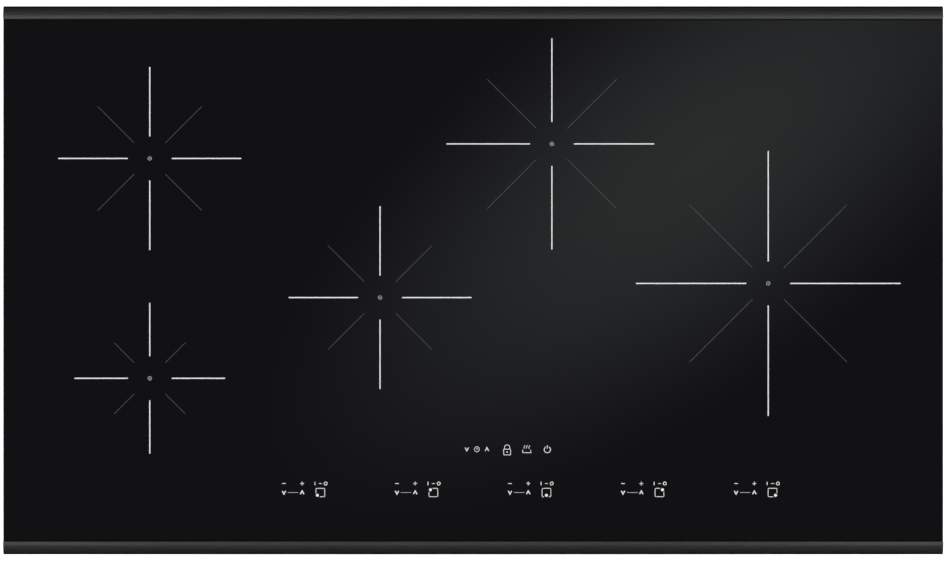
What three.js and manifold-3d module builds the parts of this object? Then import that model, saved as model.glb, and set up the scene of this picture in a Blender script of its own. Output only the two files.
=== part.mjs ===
// Built-in electric induction cooktop with five zones.
// Millimetres, +Z up. The origin is at the middle of the underside, +X points to the
// cook's right and +Y to the rear.
import * as THREE from "three";
import { mergeVertices } from "three/addons/utils/BufferGeometryUtils.js";
import Module from "manifold-3d";

// ---- Driving sizes ----
const WIDTH = 930.3; // overall, left to right
const DEPTH = 542.9; // overall, front to rear
const HEIGHT = 139.7; // underside of the box to the top of the trims
const FIT = 0.3; // clearance between two pieces that touch

// Glass and trims
const GLASS_THICKNESS = 4.0;
const GLASS_EDGE = 0.8; // ground edge of the glass
const GLASS_REBATE = 0.2; // the glass is ground this much lower under the trims
const TRIM_WIDTH = 13.0; // seen from above
const TRIM_RISE = 1.5; // the trims stand this far above the glass
const TRIM_DROP = 2.4; // fall of the crown from the inner to the outer edge
const TRIM_ROUND = 2.0; // radius of the outer edge
const TRIM_WEB = 5.2; // solid metal outside the glass
const TRIM_GRIP = 11.0; // reach of the lower lip under the glass
const TRIM_FLOOR = 1.5; // thickness of the lower lip
const TRIM_BREAK = 0.4; // broken edge next to the glass

// Seal and frame
const SEAL_THICKNESS = 2.7;
const SEAL_WIDTH = 12.0;
const SEAL_TO_TRIM = 1.95; // from the lower lip's edge to the seal
const SEAL_TO_SIDE = 4.15; // from the glass's side edge to the seal
const FRAME_SHEET = 1.2;
const FRAME_SKIRT = 15.0; // how far the frame's skirt hangs over the box
const FRAME_REACH_X = 17.0; // flange beyond the box, left and right
const FRAME_REACH_Y = 10.0; // flange beyond the box, front and rear

// Burner box
const BOX_INSET_X = 41.15; // from the glass's edge to the box
const BOX_INSET_Y = 36.45;
const BOX_SHEET = 1.0;
const BOX_CORNER = 6.0;
const BEAD_DEPTH = 2.5; // stiffening beads pressed into the floor
const BEAD_HALF_WIDTH = 6.0;
const BEAD_ROWS = [65, 118, 171, 224]; // from the front wall
const BEAD_INSET = 54.0; // from the side walls to a bead's end
const SLOT_WIDTH = 6.0; // air intake
const SLOT_PITCH = 12.0;
const EXHAUST = { width: 4, height: 30, bottom: 50, pitch: 14, count: 7, offset: 200 };

// Wiring recess in the rear right corner of the box, and what closes it
const RECESS = { x: 94, y: 70, height: 34 };
const WIRING_HOLE = { x: 70, y: 50 };
const COVER_LAP = 7.0; // how far the cover overlaps the wiring hole
const GLAND = { bore: 8, neck: 10.8, body: 14, nut: 15, drop: 20.4, nutHeight: 4 };
const TERMINAL = { x: 22, y: 56, z: 22, gap: 2, wells: 4, wellRadius: 4, wellDepth: 10 };

// Coil units, one for each zone, with the reach of the printed zone mark
const ZONES = [
  { name: "left_rear", fromLeft: 145.05, fromRear: 150.85, reach: 90.7 },
  { name: "left_front", fromLeft: 145.05, fromFront: 174.45, reach: 74.8 },
  { name: "centre_front", fromMiddle: -92.2, fromFront: 254.35, reach: 90.7 },
  { name: "centre_rear", fromMiddle: 77.9, fromRear: 136.45, reach: 104.6 },
  { name: "right", fromRight: 173.1, fromFront: 268.35, reach: 131.3 },
];
const COIL_INSET = 9.0; // the winding ends this far inside the printed mark
const COIL_BORE = 22.0; // inner radius of the winding
const WINDOW = { share: 0.5, rim: 10, half: Math.PI / 14 }; // openings in the carrier
const MICA = 0.6;
const MICA_RIM = 1.0; // the mica reaches this far past the winding
const WINDING = 5.0;
const CARRIER = 2.5;
const CARRIER_RIM = 2.0; // the carrier reaches this far past the winding
const FERRITE = { height: 5, width: 14, bars: 8, ringInner: 20, ringOuter: 24, inset: 6 };
const HUB = { radius: 9, bore: 5, length: 14.7 };
const LEG = { radius: 4, clearance: 0.5, share: 0.55, length: 27.2 };
const SENSOR = { head: 6, shank: 4, length: 22, gap: 1.0 };
const SPRING = { length: 19.1, radius: 13.2, wire: 1.6, turns: 3 };

// Coil deck
const DECK_SHEET = 1.5;
const DECK_GAP_X = 3.0; // from the box's outside to the deck
const DECK_GAP_Y = 7.0;
const DECK_LEG = 36.0; // width of a leg in the middle
const DECK_LEG_X = 147.0;
const DECK_LEG_Y = [-90, 40];

// Electronics on the floor of the box
const BOARD = { x: 220, y: 230, z: 1.6, lift: 8, middleFromFront: 221.45 };
const BOARD_X = { left: -290, centre: 0, right: 285 };
const SINK = { x: 60, y: 190, base: 6, height: 46, fins: 8, fin: 2.2 };
// What stands on each power board, measured from the board's middle
const STANDOFF = { radius: 4, inset: 10 };
const CAPACITOR = { radius: 14, height: 36, x: 62, y: -30, pitch: 34 };
const FILM_BLOCK = { near: 82, far: 102, length: 20, height: 24, y: -45, pitch: 30 };
const CHOKE = { radius: 20, height: 18, x: 70, y: 60 };
const PLUG = { near: 94, far: 106, front: 30, rear: 88, height: 12 };
const BLOWER = { small: 48, large: 62, reach: 75, height: 40, lift: 4, wall: 1.8, inlet: 32 };
const BLOWER_FEET = { radius: 4, circle: 41, angles: [30, 150, 270] };
const BLOWER_FROM_REAR = 121.45;
const ROTOR = { outer: 42, inner: 34, blades: 12, blade: 1.4, gap: 4, disc: 2, hub: 6 };
const SHAFT = { radius: 1.5, boss: 14, bossDrop: 12.2, length: 13 };

// Touch keys: one group of three for each zone, and a second row for the whole hob
const KEY_ROW_FROM_FRONT = 61.05;
const UPPER_ROW_FROM_FRONT = 104.25;
const KEY_GROUPS = { first: -187.4, pitch: 111.9, count: 5, offsets: [0, 18.1, 36.1] };
const UPPER_KEYS = [-6.3, 13.6, 33.6, 53.0, 73.4];
const PAD_RADIUS = 6.0;
const CONTROL_BOARD = 1.6;
const CONTROL_MARGIN = 20.0; // board beyond the outermost key
const TRAY = { wall: 2, gap: 1, depth: 15.9, rim: 0.6, standoff: 4, post: 5 };
const RIBBON = { width: 20, thickness: 1.2, x: 40 };

// Worktop clamps
const WORKTOP = 38.0; // worktop held at rest
const CLAMP = { y: 60, sheet: 2, legBottom: 38, armTop: 78, reach: 36, screwOut: 23 };
const SCREW = { radius: 3.1, clearance: 0.4, bottom: 42 };
const KNOB = { radius: 7, height: 12, wing: 17, wingSheet: 4 };
const FOOT = { radius: 11, thickness: 4, socket: 2.5, tip: 2.0 };

// Sides of round pieces, from the coils down to the pins
const ROUND = { wide: 24, middle: 16, small: 10, pin: 8 };

// ---- Levels worked out from the sizes ----
const GLASS_TOP = HEIGHT - TRIM_RISE;
const GLASS_BOTTOM = GLASS_TOP - GLASS_THICKNESS;
const UNDER_GLASS = GLASS_BOTTOM - FIT;
const WORKTOP_TOP = UNDER_GLASS - SEAL_THICKNESS;
const BOX_X = WIDTH / 2 - BOX_INSET_X;
const BOX_Y = DEPTH / 2 - BOX_INSET_Y;
const FRAME_FLANGE_BOTTOM = UNDER_GLASS - FRAME_SHEET;
const BOX_TOP = FRAME_FLANGE_BOTTOM - FIT;
const MICA_BOTTOM = UNDER_GLASS - MICA;
const WINDING_TOP = MICA_BOTTOM - FIT;
const CARRIER_TOP = WINDING_TOP - WINDING - FIT;
const CARRIER_BOTTOM = CARRIER_TOP - CARRIER;
const FERRITE_TOP = CARRIER_BOTTOM - FIT;
const SPRING_TOP = CARRIER_BOTTOM - FIT;
const DECK_TOP = SPRING_TOP - SPRING.length - FIT;
const DECK_BOTTOM = DECK_TOP - DECK_SHEET;
const FLOOR = BOX_SHEET + FIT;
const BOARD_BOTTOM = BOX_SHEET + BOARD.lift;
const BOARD_TOP = BOARD_BOTTOM + BOARD.z;
const BOARD_Y = BOARD.middleFromFront - DEPTH / 2;
const BLOWER_Y = DEPTH / 2 - BLOWER_FROM_REAR;
const BLOWER_TOP = BLOWER.lift + BLOWER.height;
const KEY_ROW_Y = KEY_ROW_FROM_FRONT - DEPTH / 2;
const UPPER_ROW_Y = UPPER_ROW_FROM_FRONT - DEPTH / 2;
const OVERCUT = 1.0; // a cutting tool runs this far past the face it opens
const SINK_IN = 0.2; // what is soldered or moulded together overlaps by this much

const wasm = await Module();
wasm.setup();

// A closed three.js geometry as a solid that can be cut and joined.
function solid(geometry) {
  const bare = geometry.index ? geometry.toNonIndexed() : geometry;
  bare.deleteAttribute("normal");
  bare.deleteAttribute("uv");
  const merged = mergeVertices(bare, 1e-4);
  return new wasm.Manifold(
    new wasm.Mesh({
      numProp: 3,
      vertProperties: merged.attributes.position.array,
      triVerts: new Uint32Array(merged.index.array),
    }),
  );
}

// A solid as a three.js geometry with flat shading.
function geometryOf(body) {
  const mesh = body.getMesh();
  const geometry = new THREE.BufferGeometry();
  geometry.setAttribute("position", new THREE.BufferAttribute(mesh.vertProperties, 3));
  geometry.setIndex(new THREE.BufferAttribute(mesh.triVerts, 1));
  const flat = geometry.toNonIndexed();
  flat.computeVertexNormals();
  return flat;
}

const join = (bodies) => bodies.reduce((whole, body) => whole.add(body));
const cut = (body, tools) => tools.reduce((rest, tool) => rest.subtract(tool), body);

// An upright block between two corners.
function block(x0, x1, y0, y1, z0, z1) {
  const geometry = new THREE.BoxGeometry(x1 - x0, y1 - y0, z1 - z0);
  geometry.translate((x0 + x1) / 2, (y0 + y1) / 2, (z0 + z1) / 2);
  return solid(geometry);
}

// An upright round bar.
function bar(x, y, radius, z0, z1, sides = ROUND.middle) {
  const geometry = new THREE.CylinderGeometry(radius, radius, z1 - z0, sides);
  geometry.rotateX(Math.PI / 2);
  geometry.translate(x, y, (z0 + z1) / 2);
  return solid(geometry);
}

// A flat outline raised from z0 to z1.
function prism(shape, z0, z1, curveSegments = 2) {
  const options = { depth: z1 - z0, bevelEnabled: false, curveSegments };
  const geometry = new THREE.ExtrudeGeometry(shape, options);
  geometry.translate(0, 0, z0);
  return solid(geometry);
}

// An outline drawn in Y and Z, carried along X from x0 to x1.
function alongX(shape, x0, x1, curveSegments = 4) {
  const options = { depth: x1 - x0, bevelEnabled: false, curveSegments };
  const geometry = new THREE.ExtrudeGeometry(shape, options);
  const turn = new THREE.Matrix4().makeBasis(
    new THREE.Vector3(0, 1, 0),
    new THREE.Vector3(0, 0, 1),
    new THREE.Vector3(1, 0, 0),
  );
  geometry.applyMatrix4(turn);
  geometry.translate(x0, 0, 0);
  return solid(geometry);
}

// An outline drawn in X and Z, carried along Y from y0 to y1.
function alongY(shape, y0, y1) {
  const options = { depth: y1 - y0, bevelEnabled: false };
  const geometry = new THREE.ExtrudeGeometry(shape, options);
  geometry.rotateX(Math.PI / 2);
  geometry.translate(0, y1, 0);
  return solid(geometry);
}

// A profile of [radius, height] pairs, counted anticlockwise, turned about Z.
function turned(profile, sides = ROUND.wide) {
  const points = profile.map(([radius, height]) => new THREE.Vector2(radius, height));
  const geometry = new THREE.LatheGeometry(points, sides);
  geometry.rotateX(Math.PI / 2);
  return solid(geometry);
}

// A flat ring about Z.
function ring(inner, outer, z0, z1, sides = ROUND.wide) {
  const profile = [[inner, z0], [outer, z0], [outer, z1], [inner, z1], [inner, z0]];
  return turned(profile, sides);
}

function outline(points) {
  return new THREE.Shape(points.map(([x, y]) => new THREE.Vector2(x, y)));
}

// A rectangle about the origin with round corners.
function roundedRectangle(halfX, halfY, radius) {
  const shape = new THREE.Shape();
  shape.absarc(halfX - radius, halfY - radius, radius, 0, Math.PI / 2);
  shape.absarc(radius - halfX, halfY - radius, radius, Math.PI / 2, Math.PI);
  shape.absarc(radius - halfX, radius - halfY, radius, Math.PI, 1.5 * Math.PI);
  shape.absarc(halfX - radius, radius - halfY, radius, 1.5 * Math.PI, 2 * Math.PI);
  return shape;
}

// ---- Glass, trims, seal and frame ----

function glassTop() {
  const halfX = WIDTH / 2 - GLASS_EDGE;
  const halfY = DEPTH / 2 - TRIM_WEB - FIT - GLASS_EDGE;
  const plate = outline([[-halfX, -halfY], [halfX, -halfY], [halfX, halfY], [-halfX, halfY]]);
  const geometry = new THREE.ExtrudeGeometry(plate, {
    depth: GLASS_THICKNESS - 2 * GLASS_EDGE,
    bevelThickness: GLASS_EDGE,
    bevelSize: GLASS_EDGE,
    bevelSegments: 1,
  });
  geometry.translate(0, 0, GLASS_BOTTOM + GLASS_EDGE);
  const open = DEPTH / 2 - TRIM_WIDTH - FIT;
  const low = GLASS_TOP - GLASS_REBATE;
  const rebates = [
    block(-WIDTH, WIDTH, open, DEPTH, low, HEIGHT),
    block(-WIDTH, WIDTH, -DEPTH, -open, low, HEIGHT),
  ];
  return cut(solid(geometry), rebates);
}

// The rear trim's section: a crowned lip over the glass, a web outside it and a lip under it.
function trimRear() {
  const u = (inward) => DEPTH / 2 - inward;
  const lipBottom = GLASS_TOP + FIT;
  const floorBottom = UNDER_GLASS - TRIM_FLOOR;
  const crownEnd = TRIM_WIDTH - TRIM_BREAK;
  const crownRadius = (crownEnd ** 2 + TRIM_DROP ** 2) / (2 * TRIM_DROP);
  const sweep = Math.asin((crownEnd - TRIM_ROUND) / crownRadius);
  const shape = new THREE.Shape();
  shape.moveTo(u(0), floorBottom);
  shape.lineTo(u(0), HEIGHT - TRIM_DROP - TRIM_ROUND);
  shape.quadraticCurveTo(
    u(0),
    HEIGHT - TRIM_DROP,
    u(TRIM_ROUND),
    HEIGHT - crownRadius * (1 - Math.cos(sweep)),
  );
  shape.absarc(u(crownEnd), HEIGHT - crownRadius, crownRadius, Math.PI / 2 - sweep, Math.PI / 2);
  shape.lineTo(u(TRIM_WIDTH), HEIGHT - TRIM_BREAK);
  shape.lineTo(u(TRIM_WIDTH), lipBottom);
  shape.lineTo(u(TRIM_WEB), lipBottom);
  shape.lineTo(u(TRIM_WEB), UNDER_GLASS);
  shape.lineTo(u(TRIM_GRIP), UNDER_GLASS);
  shape.lineTo(u(TRIM_GRIP), floorBottom);
  return alongX(shape, -WIDTH / 2, WIDTH / 2);
}

function foamSeal() {
  const halfX = WIDTH / 2 - SEAL_TO_SIDE;
  const halfY = DEPTH / 2 - TRIM_GRIP - SEAL_TO_TRIM;
  const shape = roundedRectangle(halfX, halfY, SEAL_WIDTH);
  shape.holes.push(roundedRectangle(halfX - SEAL_WIDTH, halfY - SEAL_WIDTH, BOX_CORNER));
  return prism(shape, WORKTOP_TOP, UNDER_GLASS);
}

// A flange under the glass and a skirt that hangs over the box's rim.
function glassFrame() {
  const inner = roundedRectangle(BOX_X + FIT, BOX_Y + FIT, BOX_CORNER + FIT);
  const wide = FIT + FRAME_SHEET;
  const flange = roundedRectangle(BOX_X + FRAME_REACH_X, BOX_Y + FRAME_REACH_Y, BOX_CORNER);
  const skirt = roundedRectangle(BOX_X + wide, BOX_Y + wide, BOX_CORNER + wide);
  flange.holes.push(inner);
  skirt.holes.push(inner);
  const skirtBottom = UNDER_GLASS - FRAME_SKIRT;
  return prism(flange, FRAME_FLANGE_BOTTOM, UNDER_GLASS).add(
    prism(skirt, skirtBottom, UNDER_GLASS),
  );
}

// ---- Burner box and its wiring recess ----

// A row of slots across a circle, each as long as the circle is wide there.
function intakeSlots(x, y, radius) {
  const slots = [];
  for (let off = -radius + SLOT_PITCH / 2; off < radius; off += SLOT_PITCH) {
    const half = Math.sqrt(radius ** 2 - off ** 2);
    const top = y + off + SLOT_WIDTH / 2;
    slots.push(block(x - half, x + half, top - SLOT_WIDTH, top, -OVERCUT, BOX_SHEET + OVERCUT));
  }
  return slots;
}

function exhaustSlots(x) {
  const slots = [];
  const start = x - ((EXHAUST.count - 1) * EXHAUST.pitch) / 2;
  for (let i = 0; i < EXHAUST.count; i += 1) {
    const left = start + i * EXHAUST.pitch - EXHAUST.width / 2;
    const top = EXHAUST.bottom + EXHAUST.height;
    const wall = [-BOX_Y - OVERCUT, BOX_SHEET + OVERCUT - BOX_Y];
    slots.push(block(left, left + EXHAUST.width, ...wall, EXHAUST.bottom, top));
  }
  return slots;
}

const RECESS_X = BOX_X - RECESS.x / 2;
const RECESS_Y = BOX_Y - RECESS.y / 2;

function burnerBox() {
  const outside = roundedRectangle(BOX_X, BOX_Y, BOX_CORNER);
  const insideX = BOX_X - BOX_SHEET;
  const insideY = BOX_Y - BOX_SHEET;
  const inside = roundedRectangle(insideX, insideY, BOX_CORNER - BOX_SHEET);
  let body = prism(outside, 0, BOX_TOP);
  body = body.subtract(prism(inside, BOX_SHEET, BOX_TOP + OVERCUT));
  for (const row of BEAD_ROWS) {
    const halfX = BOX_X - BEAD_INSET;
    const pressed = roundedRectangle(halfX, BEAD_HALF_WIDTH, BEAD_HALF_WIDTH - SINK_IN);
    const dent = roundedRectangle(
      halfX - BOX_SHEET,
      BEAD_HALF_WIDTH - BOX_SHEET,
      BEAD_HALF_WIDTH - BOX_SHEET - SINK_IN,
    );
    const y = row - BOX_Y;
    body = body.add(prism(pressed, SINK_IN, BOX_SHEET + BEAD_DEPTH).translate([0, y, 0]));
    body = body.subtract(prism(dent, -OVERCUT, BEAD_DEPTH).translate([0, y, 0]));
  }
  const left = BOX_X - RECESS.x;
  const front = BOX_Y - RECESS.y;
  const walls = [left - BOX_SHEET, insideX + SINK_IN, front - BOX_SHEET, insideY + SINK_IN];
  body = body.add(block(...walls, 0, RECESS.height + BOX_SHEET));
  return cut(body, [
    block(left, WIDTH, front, DEPTH, -OVERCUT, RECESS.height),
    block(
      RECESS_X - WIRING_HOLE.x / 2,
      RECESS_X + WIRING_HOLE.x / 2,
      RECESS_Y - WIRING_HOLE.y / 2,
      RECESS_Y + WIRING_HOLE.y / 2,
      RECESS.height - OVERCUT,
      RECESS.height + BOX_SHEET + OVERCUT,
    ),
    ...intakeSlots(blowerX("left"), BLOWER_Y, BLOWER.small),
    ...intakeSlots(blowerX("right"), BLOWER_Y, BLOWER.small),
    ...exhaustSlots(-EXHAUST.offset),
    ...exhaustSlots(0),
    ...exhaustSlots(EXHAUST.offset),
  ]);
}

function junctionCover() {
  const halfX = WIRING_HOLE.x / 2 + COVER_LAP;
  const halfY = WIRING_HOLE.y / 2 + COVER_LAP;
  const top = RECESS.height - FIT;
  const shape = roundedRectangle(halfX, halfY, BOX_SHEET * 3);
  const plate = prism(shape, top - BOX_SHEET, top).translate([RECESS_X, RECESS_Y, 0]);
  return plate.subtract(bar(RECESS_X, RECESS_Y, GLAND.neck + FIT, 0, RECESS.height));
}

function conduitGland() {
  const shoulder = RECESS.height - 2 * FIT - BOX_SHEET;
  const bottom = shoulder - GLAND.drop;
  const nut = RECESS.height;
  const nutTop = nut + GLAND.nutHeight;
  const body = turned(
    [
      [GLAND.bore, bottom],
      [GLAND.body, bottom],
      [GLAND.body, shoulder],
      [GLAND.neck, shoulder],
      [GLAND.neck, nut],
      [GLAND.nut, nut],
      [GLAND.nut, nutTop],
      [GLAND.bore, nutTop],
      [GLAND.bore, bottom],
    ],
    ROUND.middle,
  );
  return body.translate([RECESS_X, RECESS_Y, 0]);
}

const terminalRight = () => BOX_X - RECESS.x - BOX_SHEET - TERMINAL.gap;

function terminalBlock() {
  const right = terminalRight();
  const left = right - TERMINAL.x;
  const front = RECESS_Y - TERMINAL.y / 2;
  const top = FLOOR + TERMINAL.z;
  const wells = [];
  for (let i = 0; i < TERMINAL.wells; i += 1) {
    const y = front + ((i + 0.5) * TERMINAL.y) / TERMINAL.wells;
    const x = (left + right) / 2;
    wells.push(bar(x, y, TERMINAL.wellRadius, top - TERMINAL.wellDepth, top + OVERCUT, ROUND.pin));
  }
  return cut(block(left, right, front, front + TERMINAL.y, FLOOR, top), wells);
}

// ---- Coil units ----

// Middle of a zone, from the edges that it is laid out from.
function zoneMiddle(zone) {
  let x = zone.fromMiddle;
  if (zone.fromLeft !== undefined) x = zone.fromLeft - WIDTH / 2;
  if (zone.fromRight !== undefined) x = WIDTH / 2 - zone.fromRight;
  const fromRear = zone.fromRear !== undefined;
  const y = fromRear ? DEPTH / 2 - zone.fromRear : zone.fromFront - DEPTH / 2;
  return [x, y];
}

const coilRadius = (zone) => zone.reach - COIL_INSET;

const GAP_COUNT = FERRITE.bars; // a ferrite bar and a gap take turns round the carrier
const LEG_GAPS = [0, 3, 5];
const gapAngle = (i) => ((i + 0.5) * 2 * Math.PI) / GAP_COUNT;

// Centres of the three guide legs, seen from the middle of the coil.
function legCentres(radius) {
  const reach = radius * LEG.share;
  return LEG_GAPS.map((gap) => [
    reach * Math.cos(gapAngle(gap)),
    reach * Math.sin(gapAngle(gap)),
  ]);
}

// A window in the carrier between two ferrite bars, as a piece of a ring.
function carrierWindow(radius, middle) {
  const shape = new THREE.Shape();
  const [start, end] = [middle - WINDOW.half, middle + WINDOW.half];
  shape.absarc(0, 0, radius - WINDOW.rim, start, end, false);
  shape.absarc(0, 0, radius * WINDOW.share, end, start, true);
  return shape;
}

function coilCarrier(radius) {
  const plate = new THREE.Shape();
  plate.absarc(0, 0, radius + CARRIER_RIM, 0, 2 * Math.PI);
  const disc = prism(plate, CARRIER_BOTTOM, CARRIER_TOP, ROUND.wide / 2);
  const windows = [];
  for (let gap = 0; gap < GAP_COUNT; gap += 1) {
    if (LEG_GAPS.includes(gap)) continue;
    const shape = carrierWindow(radius, gapAngle(gap));
    windows.push(prism(shape, CARRIER_BOTTOM - OVERCUT, CARRIER_TOP + OVERCUT, 1));
  }
  const hubBottom = CARRIER_BOTTOM - HUB.length;
  const hub = bar(0, 0, HUB.radius, hubBottom, CARRIER_BOTTOM + SINK_IN, ROUND.small);
  const bore = bar(0, 0, HUB.bore, hubBottom - OVERCUT, CARRIER_TOP + OVERCUT, ROUND.small);
  const legs = legCentres(radius).map(([x, y]) =>
    bar(x, y, LEG.radius, CARRIER_BOTTOM - LEG.length, CARRIER_BOTTOM + SINK_IN, ROUND.pin),
  );
  return cut(join([disc, hub, ...legs]), [...windows, bore]);
}

const coilWinding = (radius) => ring(COIL_BORE, radius, WINDING_TOP - WINDING, WINDING_TOP);

function ferriteBars(radius) {
  const bottom = FERRITE_TOP - FERRITE.height;
  const parts = [ring(FERRITE.ringInner, FERRITE.ringOuter, bottom, FERRITE_TOP, ROUND.middle)];
  for (let i = 0; i < FERRITE.bars; i += 1) {
    const half = FERRITE.width / 2;
    const start = (FERRITE.ringInner + FERRITE.ringOuter) / 2;
    const long = block(start, radius - FERRITE.inset, -half, half, bottom, FERRITE_TOP);
    parts.push(long.rotate([0, 0, (360 * i) / FERRITE.bars]));
  }
  return join(parts);
}

const micaDisc = (radius) => ring(SENSOR.head + SENSOR.gap, radius + MICA_RIM, MICA_BOTTOM, UNDER_GLASS);

function heatSensor() {
  const shoulder = CARRIER_TOP + FIT;
  const bottom = UNDER_GLASS - SENSOR.length;
  const profile = [
    [0, bottom],
    [SENSOR.shank, bottom],
    [SENSOR.shank, shoulder],
    [SENSOR.head, shoulder],
    [SENSOR.head, UNDER_GLASS],
    [0, UNDER_GLASS],
  ];
  return turned(profile, ROUND.small);
}

// A helix about Z whose wire just fills the height between the deck and the carrier.
class SpringCurve extends THREE.Curve {
  getPoint(t, target = new THREE.Vector3()) {
    const angle = 2 * Math.PI * SPRING.turns * t;
    const bottom = DECK_TOP + FIT + SPRING.wire / 2;
    const top = SPRING_TOP - SPRING.wire / 2;
    return target.set(
      SPRING.radius * Math.cos(angle),
      SPRING.radius * Math.sin(angle),
      bottom + (top - bottom) * t,
    );
  }
}

function coilSpring() {
  const section = new THREE.Shape();
  section.absarc(0, 0, SPRING.wire / 2, 0, 2 * Math.PI);
  const steps = SPRING.turns * ROUND.pin;
  const options = { steps, extrudePath: new SpringCurve(), curveSegments: 3 };
  return solid(new THREE.ExtrudeGeometry(section, options));
}

// ---- Coil deck ----

function coilDeck() {
  const halfX = BOX_X - DECK_GAP_X;
  const halfY = BOX_Y - DECK_GAP_Y;
  const plate = prism(roundedRectangle(halfX, halfY, BOX_CORNER), DECK_BOTTOM, DECK_TOP);
  const sideFront = DECK_GAP_Y * 2 - BOX_Y;
  const sideRear = BOX_Y - DECK_GAP_Y * 2;
  const legTop = DECK_BOTTOM + SINK_IN;
  const parts = [
    plate,
    block(-halfX, DECK_SHEET - halfX, sideFront, sideRear, FLOOR, legTop),
    block(halfX - DECK_SHEET, halfX, sideFront, BOX_Y - RECESS.y - DECK_GAP_Y, FLOOR, legTop),
  ];
  for (const x of [-DECK_LEG_X, DECK_LEG_X]) {
    for (const y of DECK_LEG_Y) {
      parts.push(block(x, x + DECK_SHEET, y - DECK_LEG / 2, y + DECK_LEG / 2, FLOOR, legTop));
    }
  }
  const holes = [];
  for (const zone of ZONES) {
    const [x, y] = zoneMiddle(zone);
    for (const [dx, dy] of legCentres(coilRadius(zone))) {
      const radius = LEG.radius + LEG.clearance;
      const [low, high] = [DECK_BOTTOM - OVERCUT, DECK_TOP + OVERCUT];
      holes.push(bar(x + dx, y + dy, radius, low, high, ROUND.pin));
    }
  }
  const ribbonHalf = RIBBON.width / 2 + OVERCUT;
  const ribbonY = ribbonDrop();
  holes.push(
    block(
      RIBBON.x - ribbonHalf,
      RIBBON.x + ribbonHalf,
      ribbonY - 2 * OVERCUT,
      ribbonY + 2 * OVERCUT,
      DECK_BOTTOM - OVERCUT,
      DECK_TOP + OVERCUT,
    ),
  );
  return cut(join(parts), holes);
}

// ---- Power electronics and blowers ----

// A board on four standoffs with its parts: capacitors, chokes, a transformer and connectors.
function powerBoard(x) {
  const halfX = BOARD.x / 2;
  const halfY = BOARD.y / 2;
  const sunk = BOARD_TOP - SINK_IN;
  const parts = [block(-halfX, halfX, -halfY, halfY, BOARD_BOTTOM, BOARD_TOP)];
  const round = (part, x0, y0) =>
    parts.push(bar(x0, y0, part.radius, sunk, BOARD_TOP + part.height, ROUND.small));
  for (const side of [-1, 1]) {
    for (const end of [-1, 1]) {
      const foot = [side * (halfX - STANDOFF.inset), end * (halfY - STANDOFF.inset)];
      parts.push(bar(...foot, STANDOFF.radius, FLOOR, BOARD_BOTTOM + SINK_IN, ROUND.pin));
    }
    for (const row of [-1, 0, 1]) {
      round(CAPACITOR, side * CAPACITOR.x, CAPACITOR.y + row * CAPACITOR.pitch);
      const front = FILM_BLOCK.y + row * FILM_BLOCK.pitch;
      const across = pair(side, FILM_BLOCK.near, FILM_BLOCK.far);
      const top = BOARD_TOP + FILM_BLOCK.height;
      parts.push(block(...across, front, front + FILM_BLOCK.length, sunk, top));
    }
    round(CHOKE, side * CHOKE.x, CHOKE.y);
    const plug = pair(side, PLUG.near, PLUG.far);
    parts.push(block(...plug, PLUG.front, PLUG.rear, sunk, BOARD_TOP + PLUG.height));
  }
  return join(parts).translate([x, BOARD_Y, 0]);
}

// Two distances from the middle, mirrored with the side, smaller one first.
function pair(side, near, far) {
  return side > 0 ? [near, far] : [-far, -near];
}

// A comb of upright fins on a base, carried along Y.
function heatSink(x) {
  const bottom = BOARD_TOP + FIT;
  const shelf = bottom + SINK.base;
  const top = bottom + SINK.height;
  const pitch = (SINK.x - SINK.fin) / (SINK.fins - 1);
  const points = [[-SINK.x / 2, bottom], [SINK.x / 2, bottom]];
  for (let i = SINK.fins - 1; i >= 0; i -= 1) {
    const left = i * pitch - SINK.x / 2;
    points.push([left + SINK.fin, i === SINK.fins - 1 ? top : shelf]);
    if (i < SINK.fins - 1) points.push([left + SINK.fin, top]);
    points.push([left, top]);
    if (i > 0) points.push([left, shelf]);
  }
  return alongY(outline(points), BOARD_Y - SINK.y / 2, BOARD_Y + SINK.y / 2).translate([x, 0, 0]);
}

// Each blower blows along the heat sink in front of its outlet.
function blowerX(side) {
  const outlet = (BLOWER.small * Math.cos(Math.PI / 3) + BLOWER.large) / 2;
  return side === "left" ? BOARD_X.left + outlet : BOARD_X.right - outlet;
}

// A scroll about the wheel: the wall moves outwards from the tongue round to the outlet,
// which opens to the front.
function scroll(inset, reach) {
  const points = [];
  const steps = 20;
  for (let i = 0; i <= steps; i += 1) {
    const t = i / steps;
    const angle = -Math.PI / 3 - ((5 * Math.PI) / 3) * t;
    const radius = BLOWER.small + (BLOWER.large - BLOWER.small) * t - inset;
    points.push([radius * Math.cos(angle), radius * Math.sin(angle)]);
  }
  points.push([BLOWER.large - inset, -reach]);
  points.push([BLOWER.small * Math.cos(Math.PI / 3) + inset, -reach]);
  return outline(points);
}

function blowerHousing() {
  const inner = BLOWER.lift + BLOWER.wall;
  const ceiling = BLOWER_TOP - BLOWER.wall;
  const casing = prism(scroll(0, BLOWER.reach), BLOWER.lift, BLOWER_TOP);
  const air = prism(scroll(BLOWER.wall, BLOWER.reach + OVERCUT), inner, ceiling);
  const inlet = bar(0, 0, BLOWER.inlet, 0, inner + OVERCUT);
  const bossBottom = ceiling - SHAFT.bossDrop;
  const boss = bar(0, 0, SHAFT.boss, bossBottom, ceiling + SINK_IN, ROUND.small);
  const holeTop = ceiling - OVERCUT;
  const hole = bar(0, 0, SHAFT.radius + FIT, bossBottom - OVERCUT, holeTop, ROUND.pin);
  const feet = BLOWER_FEET.angles.map((degrees) => {
    const angle = (degrees * Math.PI) / 180;
    const x = BLOWER_FEET.circle * Math.cos(angle);
    const y = BLOWER_FEET.circle * Math.sin(angle);
    return bar(x, y, BLOWER_FEET.radius, FLOOR, BLOWER.lift + SINK_IN, ROUND.pin);
  });
  return join([cut(casing, [air, inlet]), boss, ...feet]).subtract(hole);
}

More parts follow.
